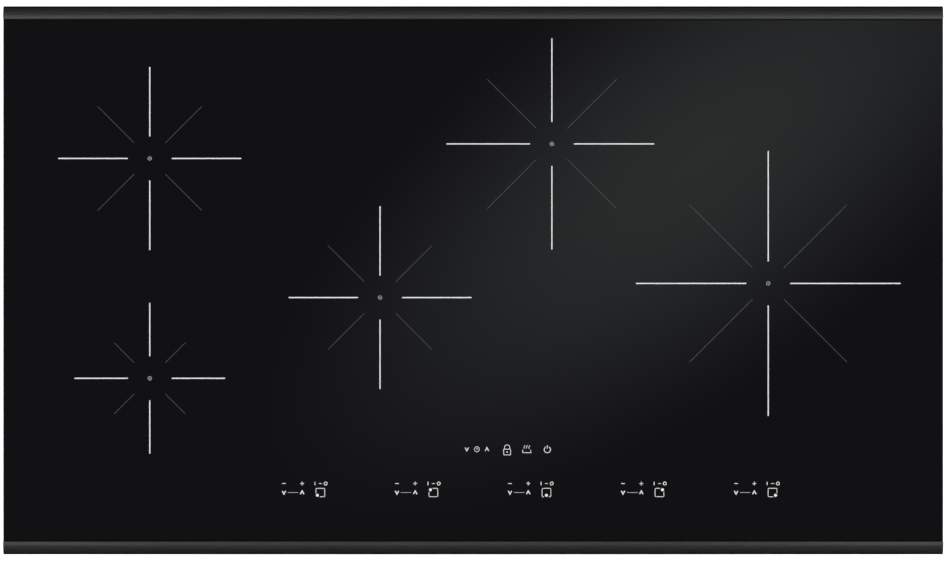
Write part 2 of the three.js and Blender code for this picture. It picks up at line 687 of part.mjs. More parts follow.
// A drum of upright blades round a disc, with a ring at the top and a stub shaft.
function blowerRotor() {
  const bottom = BLOWER.lift + ROTOR.gap;
  const top = BLOWER_TOP - ROTOR.gap - BLOWER.wall - ROTOR.disc;
  const hubTop = BLOWER_TOP - BLOWER.wall - SHAFT.bossDrop - FIT;
  const discTop = hubTop - ROTOR.disc;
  const parts = [
    bar(0, 0, ROTOR.inner + ROTOR.disc, discTop - ROTOR.disc, discTop, ROUND.wide),
    bar(0, 0, ROTOR.hub, discTop - SINK_IN, hubTop, ROUND.pin),
    bar(0, 0, SHAFT.radius, hubTop - SINK_IN, hubTop - ROTOR.disc + SHAFT.length, ROUND.pin),
    ring(ROTOR.outer - ROTOR.disc, ROTOR.outer, top - SINK_IN, top + ROTOR.disc),
  ];
  for (let i = 0; i < ROTOR.blades; i += 1) {
    const half = ROTOR.blade / 2;
    const blade = block(ROTOR.inner, ROTOR.outer - ROTOR.disc / 2, -half, half, bottom, top);
    parts.push(blade.rotate([0, 0, (360 * i) / ROTOR.blades]));
  }
  return join(parts);
}

// ---- Controls ----

// Middles of the touch pads: a group of three for each zone, and the upper row.
function keyMiddles() {
  const keys = UPPER_KEYS.map((x) => [x, UPPER_ROW_Y]);
  for (let group = 0; group < KEY_GROUPS.count; group += 1) {
    const start = KEY_GROUPS.first + group * KEY_GROUPS.pitch;
    for (const offset of KEY_GROUPS.offsets) keys.push([start + offset, KEY_ROW_Y]);
  }
  return keys;
}

// The control board's edges, a margin outside its keys.
function controlArea() {
  const keys = keyMiddles();
  const xs = keys.map(([x]) => x);
  const frontMargin = CONTROL_MARGIN / 2 + TRAY.wall;
  return {
    left: Math.min(...xs) - CONTROL_MARGIN,
    right: Math.max(...xs) + CONTROL_MARGIN,
    front: KEY_ROW_Y - frontMargin,
    rear: UPPER_ROW_Y + frontMargin,
  };
}

const TRAY_BOTTOM = UNDER_GLASS - TRAY.depth;
const TRAY_FLOOR = TRAY_BOTTOM + TRAY.wall;
const CONTROL_BOARD_BOTTOM = TRAY_FLOOR + TRAY.standoff + FIT;

function controlTray() {
  const area = controlArea();
  const out = TRAY.gap + TRAY.wall;
  const outer = [area.left - out, area.right + out, area.front - out, area.rear + out];
  const inner = [area.left - TRAY.gap, area.right + TRAY.gap];
  inner.push(area.front - TRAY.gap, area.rear + TRAY.gap);
  const top = UNDER_GLASS - TRAY.rim;
  const parts = [
    block(...outer, TRAY_BOTTOM, top).subtract(block(...inner, TRAY_FLOOR, HEIGHT)),
  ];
  const edge = TRAY.post + TRAY.gap;
  for (const x of [area.left + edge, (area.left + area.right) / 2, area.right - edge]) {
    for (const y of [area.front + edge, area.rear - edge]) {
      parts.push(bar(x, y, TRAY.post, DECK_TOP + FIT, TRAY_BOTTOM + SINK_IN, ROUND.pin));
      const seat = TRAY_FLOOR + TRAY.standoff;
      parts.push(bar(x, y, TRAY.post - TRAY.gap, TRAY_FLOOR - SINK_IN, seat, ROUND.pin));
    }
  }
  return join(parts);
}

function controlBoard() {
  const area = controlArea();
  const bottom = CONTROL_BOARD_BOTTOM;
  const top = bottom + CONTROL_BOARD;
  const board = block(area.left, area.right, area.front, area.rear, bottom, top);
  const pads = keyMiddles().map(([x, y]) =>
    bar(x, y, PAD_RADIUS, top - SINK_IN, UNDER_GLASS, ROUND.pin),
  );
  return join([board, ...pads]);
}

// Where the ribbon cable goes down through the deck.
function ribbonDrop() {
  return controlArea().rear + TRAY.gap + TRAY.wall + CONTROL_MARGIN / 2;
}

// A flat cable from behind the tray down to the middle power board.
function controlCable() {
  const y = ribbonDrop();
  const half = RIBBON.thickness / 2;
  const trayRear = controlArea().rear + TRAY.gap + TRAY.wall + FIT;
  const end = BOARD_TOP + FIT;
  const bend = RIBBON.thickness * 3;
  const shape = outline([
    [trayRear, TRAY_FLOOR - half],
    [y - half - bend, TRAY_FLOOR - half],
    [y - half, TRAY_FLOOR - half - bend],
    [y - half, end],
    [y + half, end],
    [y + half, TRAY_FLOOR + half - bend],
    [y + half - bend, TRAY_FLOOR + half],
    [trayRear, TRAY_FLOOR + half],
  ]);
  return alongX(shape, RIBBON.x - RIBBON.width / 2, RIBBON.x + RIBBON.width / 2);
}

// The sleeved mains wiring, from the terminal block along the rear wall to the middle
// board. It leaves the block towards the left and comes down to the board from the rear.
const HARNESS_RADIUS = 4.0;
const HARNESS_END_GAP = 0.5;
const HARNESS_FROM_BLOCK = [
  [0, 14, 14],
  [-12, 14, 14],
  [-32, 24, 14],
  [-64, 27, 14],
];
const HARNESS_ALONG_WALL = [
  [150, 27, 14],
  [40, 26, 14],
  [-40, 22, 14],
  [-72, 6, 14],
];
const HARNESS_TO_BOARD = [
  [-84, 230, 15],
  [-88, 190, 16],
  [-96, 146, 17],
  [-100, 110, 17],
  [-100, 88, 17],
];

function mainsHarness() {
  const blockLeft = terminalRight() - TERMINAL.x - HARNESS_END_GAP;
  const boardRear = BOARD_Y + HARNESS_END_GAP;
  const points = [
    ...HARNESS_FROM_BLOCK.map(([x, y, z]) => new THREE.Vector3(blockLeft + x, RECESS_Y + y, z)),
    ...HARNESS_ALONG_WALL.map(([x, y, z]) => new THREE.Vector3(x, RECESS_Y + y, z)),
    ...HARNESS_TO_BOARD.map(([x, y, z]) => new THREE.Vector3(x, boardRear + y, z)),
  ];
  const section = new THREE.Shape();
  section.absarc(0, 0, HARNESS_RADIUS, 0, 2 * Math.PI);
  const extrudePath = new THREE.CatmullRomCurve3(points);
  const options = { steps: 28, extrudePath, curveSegments: ROUND.pin / 2 };
  return solid(new THREE.ExtrudeGeometry(section, options));
}

// ---- Worktop clamps, drawn for the right side ----

const CLAMP_X = BOX_X + CLAMP.screwOut;

function clampBracket() {
  const wall = BOX_X + FIT;
  const legOut = wall + CLAMP.sheet;
  const armBottom = CLAMP.armTop - CLAMP.sheet;
  const half = CLAMP.y / 2;
  const end = BOX_X + CLAMP.reach;
  const leg = block(wall, legOut, -half, half, CLAMP.legBottom, CLAMP.armTop);
  const arm = block(legOut - SINK_IN, end, -half, half, armBottom, CLAMP.armTop);
  const gusset = outline([
    [legOut - SINK_IN, armBottom + SINK_IN],
    [legOut - SINK_IN, CLAMP.legBottom + CLAMP.sheet],
    [end - CLAMP.sheet, armBottom + SINK_IN],
  ]);
  const hole = SCREW.radius + SCREW.clearance;
  return join([
    leg,
    arm,
    alongY(gusset, -half, CLAMP.sheet - half),
    alongY(gusset, half - CLAMP.sheet, half),
  ]).subtract(bar(CLAMP_X, 0, hole, CLAMP.legBottom, HEIGHT));
}

const FOOT_TOP = WORKTOP_TOP - WORKTOP;
const FOOT_BOTTOM = FOOT_TOP - FOOT.thickness;

function clampScrew() {
  const knobTop = SCREW.bottom + KNOB.height;
  const half = KNOB.wingSheet / 2;
  const shape = roundedRectangle(KNOB.wing, half, half - SINK_IN / 2);
  return join([
    bar(CLAMP_X, 0, KNOB.radius, SCREW.bottom, knobTop),
    prism(shape, SCREW.bottom, knobTop).translate([CLAMP_X, 0, 0]),
    bar(CLAMP_X, 0, SCREW.radius, knobTop - SINK_IN, FOOT_BOTTOM + FOOT.tip, ROUND.small),
  ]);
}

function clampFoot() {
  const socket = SCREW.radius + SCREW.clearance;
  const disc = bar(CLAMP_X, 0, FOOT.radius, FOOT_BOTTOM, FOOT_TOP);
  const well = FOOT_BOTTOM + FOOT.socket;
  return disc.subtract(bar(CLAMP_X, 0, socket, FOOT_BOTTOM - OVERCUT, well, ROUND.small));
}

// ---- Materials ----

function finish(color, roughness, metalness) {
  return new THREE.MeshStandardMaterial({ color, roughness, metalness });
}

const FINISHES = {
  glass: finish(0x111113, 0.08, 0.0),
  trim: finish(0x3a3a3b, 0.4, 0.9),
  foam: finish(0x1c1c1d, 0.95, 0.0),
  steel: finish(0xb4b8bb, 0.45, 0.9),
  aluminium: finish(0xc4c7ca, 0.4, 0.9),
  carrier: finish(0x8a7a5c, 0.7, 0.0),
  copper: finish(0xb06a3c, 0.45, 0.8),
  ferrite: finish(0x2d2d30, 0.7, 0.0),
  mica: finish(0xc9bd9a, 0.6, 0.0),
  ceramic: finish(0xe6e2d8, 0.5, 0.0),
  board: finish(0x1f5a34, 0.5, 0.0),
  blackPlastic: finish(0x1f1f21, 0.6, 0.0),
  whitePlastic: finish(0xdedcd4, 0.55, 0.0),
  sleeve: finish(0x2a2a2c, 0.8, 0.0),
  ribbon: finish(0xa8acb0, 0.6, 0.0),
};

// ---- Assembly ----

const cooktop = new THREE.Group();

function place(group, name, body, material) {
  const mesh = new THREE.Mesh(geometryOf(body), material);
  mesh.name = name;
  group.add(mesh);
  return mesh;
}

place(cooktop, "glass_top", glassTop(), FINISHES.glass);
place(cooktop, "trim_rear", trimRear(), FINISHES.trim);
place(cooktop, "trim_front", trimRear(), FINISHES.trim).rotation.z = Math.PI;
place(cooktop, "foam_seal", foamSeal(), FINISHES.foam);
place(cooktop, "glass_frame", glassFrame(), FINISHES.steel);
place(cooktop, "burner_box", burnerBox(), FINISHES.steel);
place(cooktop, "junction_cover", junctionCover(), FINISHES.steel);
place(cooktop, "conduit_gland", conduitGland(), FINISHES.aluminium);
place(cooktop, "terminal_block", terminalBlock(), FINISHES.whitePlastic);
place(cooktop, "coil_deck", coilDeck(), FINISHES.aluminium);

for (const zone of ZONES) {
  const unit = new THREE.Group();
  unit.position.set(...zoneMiddle(zone), 0);
  cooktop.add(unit);
  const radius = coilRadius(zone);
  place(unit, `coil_carrier_${zone.name}`, coilCarrier(radius), FINISHES.carrier);
  place(unit, `coil_winding_${zone.name}`, coilWinding(radius), FINISHES.copper);
  place(unit, `ferrite_bars_${zone.name}`, ferriteBars(radius), FINISHES.ferrite);
  place(unit, `mica_disc_${zone.name}`, micaDisc(radius), FINISHES.mica);
  place(unit, `heat_sensor_${zone.name}`, heatSensor(), FINISHES.ceramic);
  place(unit, `coil_spring_${zone.name}`, coilSpring(), FINISHES.steel);
}

for (const [side, x] of Object.entries(BOARD_X)) {
  place(cooktop, `power_board_${side}`, powerBoard(x), FINISHES.board);
  place(cooktop, `heat_sink_${side}`, heatSink(x), FINISHES.aluminium);
}

// The left blower is the right one's mirror image, so that both blow to the front.
for (const side of ["left", "right"]) {
  const hand = side === "left" ? [-1, 1, 1] : [1, 1, 1];
  const middle = [blowerX(side), BLOWER_Y, 0];
  const housing = blowerHousing().scale(hand).translate(middle);
  const rotor = blowerRotor().scale(hand).translate(middle);
  place(cooktop, `blower_housing_${side}`, housing, FINISHES.blackPlastic);
  place(cooktop, `blower_rotor_${side}`, rotor, FINISHES.blackPlastic);
}

place(cooktop, "control_tray", controlTray(), FINISHES.whitePlastic);
place(cooktop, "control_board", controlBoard(), FINISHES.board);
place(cooktop, "control_cable", controlCable(), FINISHES.ribbon);
place(cooktop, "mains_harness", mainsHarness(), FINISHES.sleeve);

for (const side of ["left", "right"]) {
  const clamp = new THREE.Group();
  clamp.rotation.z = side === "left" ? Math.PI : 0;
  cooktop.add(clamp);
  place(clamp, `clamp_bracket_${side}`, clampBracket(), FINISHES.steel);
  place(clamp, `clamp_screw_${side}`, clampScrew(), FINISHES.steel);
  place(clamp, `clamp_foot_${side}`, clampFoot(), FINISHES.whitePlastic);
}

export default cooktop;
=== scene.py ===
import math

import bpy
import numpy as np
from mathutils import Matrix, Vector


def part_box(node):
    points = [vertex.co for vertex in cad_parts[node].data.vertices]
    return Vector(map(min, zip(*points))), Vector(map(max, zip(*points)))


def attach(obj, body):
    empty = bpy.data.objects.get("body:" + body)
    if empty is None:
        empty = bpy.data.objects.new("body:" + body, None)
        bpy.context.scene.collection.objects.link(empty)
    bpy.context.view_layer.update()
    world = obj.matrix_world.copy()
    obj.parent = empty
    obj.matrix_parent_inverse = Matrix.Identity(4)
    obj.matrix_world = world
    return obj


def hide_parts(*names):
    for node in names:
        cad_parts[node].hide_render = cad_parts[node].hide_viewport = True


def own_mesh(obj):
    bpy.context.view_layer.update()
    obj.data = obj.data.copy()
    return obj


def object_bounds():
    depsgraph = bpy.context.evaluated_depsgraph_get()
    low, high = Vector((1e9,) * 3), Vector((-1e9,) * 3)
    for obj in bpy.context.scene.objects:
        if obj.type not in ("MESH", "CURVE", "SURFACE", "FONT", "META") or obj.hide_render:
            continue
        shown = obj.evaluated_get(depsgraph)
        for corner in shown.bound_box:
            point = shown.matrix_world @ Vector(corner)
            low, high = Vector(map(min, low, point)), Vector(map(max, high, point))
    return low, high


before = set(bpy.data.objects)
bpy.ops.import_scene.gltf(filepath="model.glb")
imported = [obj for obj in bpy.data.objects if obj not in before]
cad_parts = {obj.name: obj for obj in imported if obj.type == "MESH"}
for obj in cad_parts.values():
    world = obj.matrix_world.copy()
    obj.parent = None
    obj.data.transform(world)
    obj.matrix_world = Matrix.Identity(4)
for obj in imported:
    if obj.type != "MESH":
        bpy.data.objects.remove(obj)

cad_low, cad_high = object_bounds()

# ---- Camera ----
# A long lens hung level above the middle of the glass, with the top of its picture
# towards the rear edge of the hob.

GLASS_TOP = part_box("glass_top")[1].z
LENS_HEIGHT = 2.612  # above the glass
LENS_X, LENS_Y = 0.0018, -0.0007  # it hangs a little off the middle
lens = bpy.data.cameras.new("overhead_camera")
lens.lens = 100
lens.sensor_width = 36
camera = bpy.data.objects.new("overhead_camera", lens)
camera.location = (LENS_X, LENS_Y, GLASS_TOP + LENS_HEIGHT)
bpy.context.scene.collection.objects.link(camera)
bpy.context.scene.camera = camera
bpy.context.scene.view_settings.view_transform = "Standard"


# ---- Studio floor, soft lights and reflected card ----
# A white sweep lit from within stands for the floor. Two soft boxes light the hob from its
# ends, and a large dim card above it is what the polished glass mirrors.

def linear(colour):
    """Linear red, green, blue and alpha of an sRGB colour written as six hex digits."""
    share = np.array([int(colour[i:i + 2], 16) for i in (0, 2, 4)]) / 255
    low = share / 12.92
    high = ((share + 0.055) / 1.055) ** 2.4
    return (*np.where(share <= 0.04045, low, high).tolist(), 1.0)


def add_node(tree, kind, feeds=None, **settings):
    """Adds a shader node with its settings; feeds gives sockets a value or another's output."""
    made = tree.nodes.new(kind)
    for setting, value in settings.items():
        setattr(made, setting, value)
    for socket, value in (feeds or {}).items():
        if isinstance(value, bpy.types.NodeSocket):
            tree.links.new(value, made.inputs[socket])
        else:
            made.inputs[socket].default_value = value
    return made


def new_material(name, kind="ShaderNodeBsdfPrincipled", **sockets):
    """An empty material with one shader, whose sockets are given by name with _ for a space."""
    made = bpy.data.materials.new(name)
    made.use_nodes = True
    made.node_tree.nodes.clear()
    feeds = {socket.replace("_", " "): value for socket, value in sockets.items()}
    shader = add_node(made.node_tree, kind, feeds)
    output = add_node(made.node_tree, "ShaderNodeOutputMaterial")
    made.node_tree.links.new(shader.outputs[0], output.inputs[0])
    return made, made.node_tree, shader


def flat_sheet(name, half_x, half_y, z):
    """A level rectangle: x runs from -half_x to half_x and y from -half_y to half_y at height z."""
    corner = np.array([[-1, -1], [1, -1], [1, 1], [-1, 1]]) * (half_x, half_y)
    mesh = bpy.data.meshes.new(name)
    mesh.from_pydata(np.column_stack([corner, np.full(4, z)]).tolist(), [], [[0, 1, 2, 3]])
    made = bpy.data.objects.new(name, mesh)
    bpy.context.scene.collection.objects.link(made)
    return made


# White painted sweep: matt, with a faint glow so that it stays white round the hob.
sweep_paint, _, _ = new_material("white_sweep_paint", Base_Color=linear("e4e4e4"), Roughness=0.9,
                                 Emission_Color=linear("ffffff"), Emission_Strength=0.62)
floor = flat_sheet("studio_floor", 9, 9, 0)
floor.data.materials.append(sweep_paint)

# Dim card: the glow is strongest in a long oval that lies askew over the right-hand rear
# quarter, and it fades to near black at the card's edges.
CARD_RISE = 3.0  # above the glass, for the card and for the strips
SPREAD = 1 + CARD_RISE / LENS_HEIGHT  # how much larger the mirrored patch is than the glass
OVAL_MIDDLE = (0.225 * SPREAD, 0.12 * SPREAD, GLASS_TOP + CARD_RISE)
OVAL_TURN = 37  # degrees
OVAL_REACH = (0.565 * SPREAD, 0.23 * SPREAD, 1)
card = flat_sheet("reflected_card", 1.5, 1.0, GLASS_TOP + CARD_RISE)
card_glow, tree, shine = new_material("dim_card_glow", "ShaderNodeEmission")
place = add_node(tree, "ShaderNodeTexCoord")
oval = add_node(tree, "ShaderNodeMapping",
                {"Vector": place.outputs["Object"], "Location": OVAL_MIDDLE,
                 "Rotation": (0, 0, math.radians(OVAL_TURN)), "Scale": OVAL_REACH}, vector_type="TEXTURE")
fade = add_node(tree, "ShaderNodeTexGradient", {"Vector": oval.outputs[0]}, gradient_type="SPHERICAL")
glow = add_node(tree, "ShaderNodeMapRange",
                {"Value": fade.outputs["Fac"], "To Min": 0.06, "To Max": 0.50},
                interpolation_type="SMOOTHSTEP")
tint = add_node(tree, "ShaderNodeValToRGB", {"Fac": fade.outputs["Fac"]})
tint.color_ramp.elements[0].color = linear("f4f4ff")
tint.color_ramp.elements[1].color = linear("f2fffb")
tree.links.new(tint.outputs["Color"], shine.inputs["Color"])
tree.links.new(glow.outputs[0], shine.inputs["Strength"])


def hang(sheet, glow):
    """Gives a card its glow and hides it from the camera, so that only reflections show it."""
    sheet.data.materials.append(glow)
    sheet.visible_camera = False
    sheet.visible_shadow = False


hang(card, card_glow)

# Two long strip cards in front of and behind the mirrored patch. Only the crowned trims
# catch them, brightest along their inner edges.
STRIP_HALF_X, STRIP_HALF_Y, STRIP_FROM_MIDDLE = 4.0, 0.26, 0.85
strip_glow, _, _ = new_material("strip_card_glow", "ShaderNodeEmission", Color=linear("ffffff"),
                                Strength=1.5)
for side in (-1, 1):
    strip = flat_sheet("strip_card", STRIP_HALF_X, STRIP_HALF_Y, GLASS_TOP + CARD_RISE)
    strip.location.y = side * STRIP_FROM_MIDDLE
    hang(strip, strip_glow)

SOFT_BOX_X, SOFT_BOX_Z = 4.2, 2.3  # each is aimed at the middle of the hob
for side in (-1, 1):
    box = bpy.data.lights.new("soft_box", "AREA")
    box.shape = "RECTANGLE"
    box.size = 2.0
    box.size_y = 2.0
    box.energy = 190
    soft_box = bpy.data.objects.new("soft_box", box)
    soft_box.location = (side * SOFT_BOX_X, 0, SOFT_BOX_Z)
    soft_box.rotation_euler = (0, side * math.atan2(SOFT_BOX_X, SOFT_BOX_Z), 0)
    soft_box.visible_camera = False
    soft_box.visible_glossy = False
    bpy.context.scene.collection.objects.link(soft_box)

air = bpy.data.worlds.new("studio_air")
air.use_nodes = True
tree = air.node_tree
direction = add_node(tree, "ShaderNodeTexCoord")
height = add_node(tree, "ShaderNodeSeparateXYZ", {"Vector": direction.outputs["Generated"]})
haze = add_node(tree, "ShaderNodeMapRange", {"Value": height.outputs["Z"], "From Max": 0.6,
                                             "To Min": 0.40, "To Max": 0.05},
                interpolation_type="SMOOTHSTEP")
tree.links.new(haze.outputs[0], tree.nodes["Background"].inputs["Strength"])
tree.nodes["Background"].inputs["Color"].default_value = linear("ffffff")
bpy.context.scene.world = air


# ---- Glass top ----
# A 4 mm sheet of black glass-ceramic, rolled and ceramised, polished bright on top, with
# ground and broken edges left and right; the trims cover its front and rear edges.

def rounded_outline(half_x, half_y, radius, steps=8):
    """A rectangle with round corners, counter-clockwise: each corner is its centre plus the
    radius times (cosine, sine) over a quarter turn."""
    turn = np.linspace(0, np.pi / 2, steps)
    turns = (turn + np.arange(4)[:, None] * np.pi / 2).ravel()
    centre = np.repeat([[1, 1], [-1, 1], [-1, -1], [1, -1]], steps, 0) * (half_x - radius, half_y - radius)
    return centre + radius * np.column_stack([np.cos(turns), np.sin(turns)])


def stacked(outlines, levels):
    """Rings for a skin: each outline is given its level as the third coordinate."""
    levels = np.broadcast_to(np.array(levels)[:, None], (len(levels), len(outlines[0])))
    return np.concatenate([np.array(outlines), levels[..., None]], -1)


def skin(rings, closed=False):
    """Joins each point of a stack of rings to the next point round its ring and to the ring
    above. The end rings become flat faces, or with closed the last ring joins the first."""
    levels, count = rings.shape[:2]
    index = np.arange(levels * count).reshape(levels, count)
    above = np.roll(index, -1, 0)
    if not closed:
        index, above = index[:-1], above[:-1]
    quads = np.stack([index, np.roll(index, -1, 1), np.roll(above, -1, 1), above], -1).reshape(-1, 4)
    last = (levels - 1) * count
    ends = [] if closed else [np.arange(count)[::-1], np.arange(last, last + count)]
    return rings.reshape(-1, 3), quads, ends


def joined(surfaces):
    """Puts several surfaces into one, moving each one's point numbers past those before it."""
    starts = np.cumsum([0] + [len(s[0]) for s in surfaces[:-1]])
    points = np.concatenate([s[0] for s in surfaces])
    quads = np.concatenate([s[1] + start for s, start in zip(surfaces, starts)])
    ends = [end + start for s, start in zip(surfaces, starts) for end in s[2]]
    return points, quads, ends


def piece(name, surface, material, body="hob", stands_for=(), crease=32):
    """Makes a mesh at the origin from whole arrays, shades it smooth up to the crease angle,
    gives it its material and fixes it to a body of the frame."""
    points, quads, ends = surface
    mesh = bpy.data.meshes.new(name)
    mesh.from_pydata(points.tolist(), [], quads.tolist() + [end.tolist() for end in ends])
    mesh.shade_smooth()
    mesh.set_sharp_from_angle(angle=math.radians(crease))
    mesh.materials.append(material)
    made = bpy.data.objects.new(name, mesh)
    bpy.context.scene.collection.objects.link(made)
    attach(made, body)
    if stands_for:
        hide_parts(*stands_for)
    return made


def lay_on(tree, shader, pattern, dark, pale, gloss=None, relief=None):
    """Lays a pattern on a shader: its colour runs from dark at the pattern's low values to pale
    at its high ones, its roughness runs between the two of gloss, and its bumps have the
    strength and depth of relief."""
    shade = add_node(tree, "ShaderNodeValToRGB", {"Fac": pattern})
    shade.color_ramp.elements[0].color = linear(dark)
    shade.color_ramp.elements[1].color = linear(pale)
    tree.links.new(shade.outputs["Color"], shader.inputs["Base Color"])
    if gloss:
        satin = add_node(tree, "ShaderNodeMapRange",
                         {"Value": pattern, "To Min": gloss[0], "To Max": gloss[1]})
        tree.links.new(satin.outputs[0], shader.inputs["Roughness"])
    if relief:
        bumps = add_node(tree, "ShaderNodeBump",
                         {"Height": pattern, "Strength": relief[0], "Distance": relief[1]})
        tree.links.new(bumps.outputs[0], shader.inputs["Normal"])


glass_low, glass_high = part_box("glass_top")
half_x, half_y = glass_high.x, glass_high.y
BREAK = 0.0004  # broken edge
edge_steps = [(0.0008, glass_low.z), (0.0002, glass_low.z + 0.0004), (0, glass_low.z + 0.0009),
              (0, glass_high.z - BREAK), (0.0001, glass_high.z - 0.8 * BREAK), (BREAK, glass_high.z)]
rings = stacked([rounded_outline(half_x - i, half_y - i, 0.0015, 5) for i, _ in edge_steps],
                [z for _, z in edge_steps])

# Black glass-ceramic: opaque and mirror bright, with a barely seen mottle from its crystals
# and the slightest unevenness from rolling. Its index is 1.54.
glass_ceramic, tree, shader = new_material("black_glass_ceramic", IOR=1.54)
place = add_node(tree, "ShaderNodeTexCoord").outputs["Object"]
crystals = add_node(tree, "ShaderNodeTexNoise", {"Vector": place, "Scale": 900.0, "Detail": 3.0})
lay_on(tree, shader, crystals.outputs["Fac"], "09090b", "0d0d0f")
rolling = add_node(tree, "ShaderNodeTexNoise", {"Vector": place, "Scale": 14.0, "Detail": 1.0})
polish = add_node(tree, "ShaderNodeMapRange",
                  {"Value": rolling.outputs["Fac"], "To Min": 0.025, "To Max": 0.05})
tree.links.new(polish.outputs[0], shader.inputs["Roughness"])
piece("glass_sheet", skin(rings), glass_ceramic, stands_for=["glass_top"], crease=20)


# ---- Printed cooking zones ----
# Ceramic colours screen printed on the glass and fired in: four bold spokes, four thin ones
# between them and a small ring in the middle, drawn a little thicker than the real ink.

INK = 0.00005  # height of the print above the glass
SUNK = 0.00002  # it is fused this far into the glass
PRINT = (GLASS_TOP - SUNK, GLASS_TOP + INK)  # its underside and its top


def ribbon_line(path, width, bottom, top, loop=False):
    """A flat line: at each point of the path, half the width is laid off to both sides along
    the mitre, and the rectangle between bottom and top is carried along."""
    path = np.asarray(path, float)
    ahead = np.roll(path, -1, 0) - path
    if not loop:
        ahead[-1] = ahead[-2]
    ahead /= np.linalg.norm(ahead, axis=1, keepdims=True)
    behind = np.roll(ahead, 1, 0)
    if not loop:
        behind[0] = ahead[0]
    left = np.column_stack([-ahead[:, 1] - behind[:, 1], ahead[:, 0] + behind[:, 0]])
    left *= width / (1 + (ahead * behind).sum(1))[:, None] / 2
    sides = [path - left, path - left, path + left, path + left]
    heights = [bottom, top, top, bottom]
    rings = np.stack([np.column_stack([s, np.full(len(path), z)]) for s, z in zip(sides, heights)], 1)
    return skin(rings[:, ::-1], closed=loop)


def printed(*strokes):
    """Ink strokes on the glass, each a path and a line width, with True after them for a loop."""
    return joined([ribbon_line(path, width, *PRINT, loop=bool(loop)) for path, width, *loop in strokes])


def disc(x, y, radius, bottom, top, steps=24):
    """A round plate: circles of the radius at the bottom and top levels."""
    turn = np.arange(steps) * 2 * np.pi / steps
    circle = np.column_stack([x + radius * np.cos(turn), y + radius * np.sin(turn)])
    return skin(stacked([circle, circle], [bottom, top]))


def arc(x, y, radius, start=0.0, end=360.0, steps=32, loop=False):
    """Points of a circle's arc: the centre plus the radius times (cosine, sine), in degrees."""
    turn = np.radians(np.linspace(start, end, steps, endpoint=not loop))
    return np.column_stack([x + radius * np.cos(turn), y + radius * np.sin(turn)])


def enamel(name, colour, speck):
    """Fired ceramic colour: satin, a little uneven in cover where the screen's mesh shows."""
    made, tree, shader = new_material(name, Roughness=0.42, IOR=1.52)
    place = add_node(tree, "ShaderNodeTexCoord").outputs["Object"]
    cover = add_node(tree, "ShaderNodeTexNoise", {"Vector": place, "Scale": 1800.0, "Detail": 2.0})
    ramp = add_node(tree, "ShaderNodeValToRGB", {"Fac": cover.outputs["Fac"]})
    ramp.color_ramp.elements[0].position = 0.3
    ramp.color_ramp.elements[0].color = linear(speck)
    ramp.color_ramp.elements[1].position = 0.6
    ramp.color_ramp.elements[1].color = linear(colour)
    tree.links.new(ramp.outputs["Color"], shader.inputs["Base Color"])
    return made


def middle_of(node):
    """Where the middle of a CAD node's box is, seen from above."""
    low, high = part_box(node)
    return np.array([(low.x + high.x) / 2, (low.y + high.y) / 2])


white_enamel = enamel("fired_white_enamel", "f4f4f4", "e2e2e2")
pale_enamel = enamel("fired_pale_grey_enamel", "c4c4c4", "b0b0b0")
dark_enamel = enamel("fired_dark_grey_enamel", "555657", "48494a")

# Each zone's reach along the bold spokes and along the thin ones, from its middle. The bold
# spoke to the right of the centre rear zone is a little shorter than the other three.
ZONE_REACH = {"left_rear": (0.0905, 0.0728), "left_front": (0.0746, 0.0498),
              "centre_front": (0.0904, 0.0728), "centre_rear": ((0.1012, 0.1045, 0.1045, 0.1045), 0.0905),
              "right": (0.1311, 0.1102)}
SPOKE_START, BOLD, THIN = 0.0218, 0.00115, 0.0005
for zone, (bold_reach, thin_reach) in ZONE_REACH.items():
    middle = middle_of("mica_disc_" + zone)
    spokes = {}
    for kind, turn, reach, width in (("bold", 0, bold_reach, BOLD), ("thin", 45, thin_reach, THIN)):
        angles = np.radians(turn + 90 * np.arange(4))
        aim = np.column_stack([np.cos(angles), np.sin(angles)])
        ends = np.broadcast_to(reach, 4)
        spokes[kind] = printed(*[([middle + SPOKE_START * a, middle + end * a], width)
                                 for a, end in zip(aim, ends)])
    piece("zone_bold_spokes_" + zone, spokes["bold"], white_enamel)
    piece("zone_thin_spokes_" + zone, spokes["thin"], dark_enamel)
    mark = joined([printed((arc(*middle, 0.0018, loop=True), 0.0004, True)), disc(*middle, 0.0006, *PRINT)])
    piece("zone_middle_mark_" + zone, mark, pale_enamel)


# ---- Printed touch keys ----
# One group for each zone along the front edge: an arrow down and an arrow up joined by a
# line, and a small plan of the hob with a dot at its own zone. Plain signs stand over them.

KEY_ROW = cad_low.y + 0.0614
GROUP_X = -0.1874 + 0.1119 * np.arange(5)  # the down arrow of each group
UP_STEP, PLAN_STEP = 0.0181, 0.0361  # from there to the up arrow and to the little plan
SIGN_RISE = 0.0089  # from the arrows up to the signs
ARROW = np.array([[-0.0017, 0.0016], [0, -0.0016], [0.0017, 0.0016]])
PLAN = np.array([0.00435, 0.00415])  # half width and half depth of the little plan
DOT_RADIUS, DOT_CLEAR = 0.0015, 0.0023  # the dot, and how near the outline comes to its middle
# Where the dot sits on the plan, as a share of the half width and half depth.
DOTS = [(-0.68, -0.66), (-0.68, 0.66), (0, -0.66), (0.68, 0.66), (0.68, -0.66)]


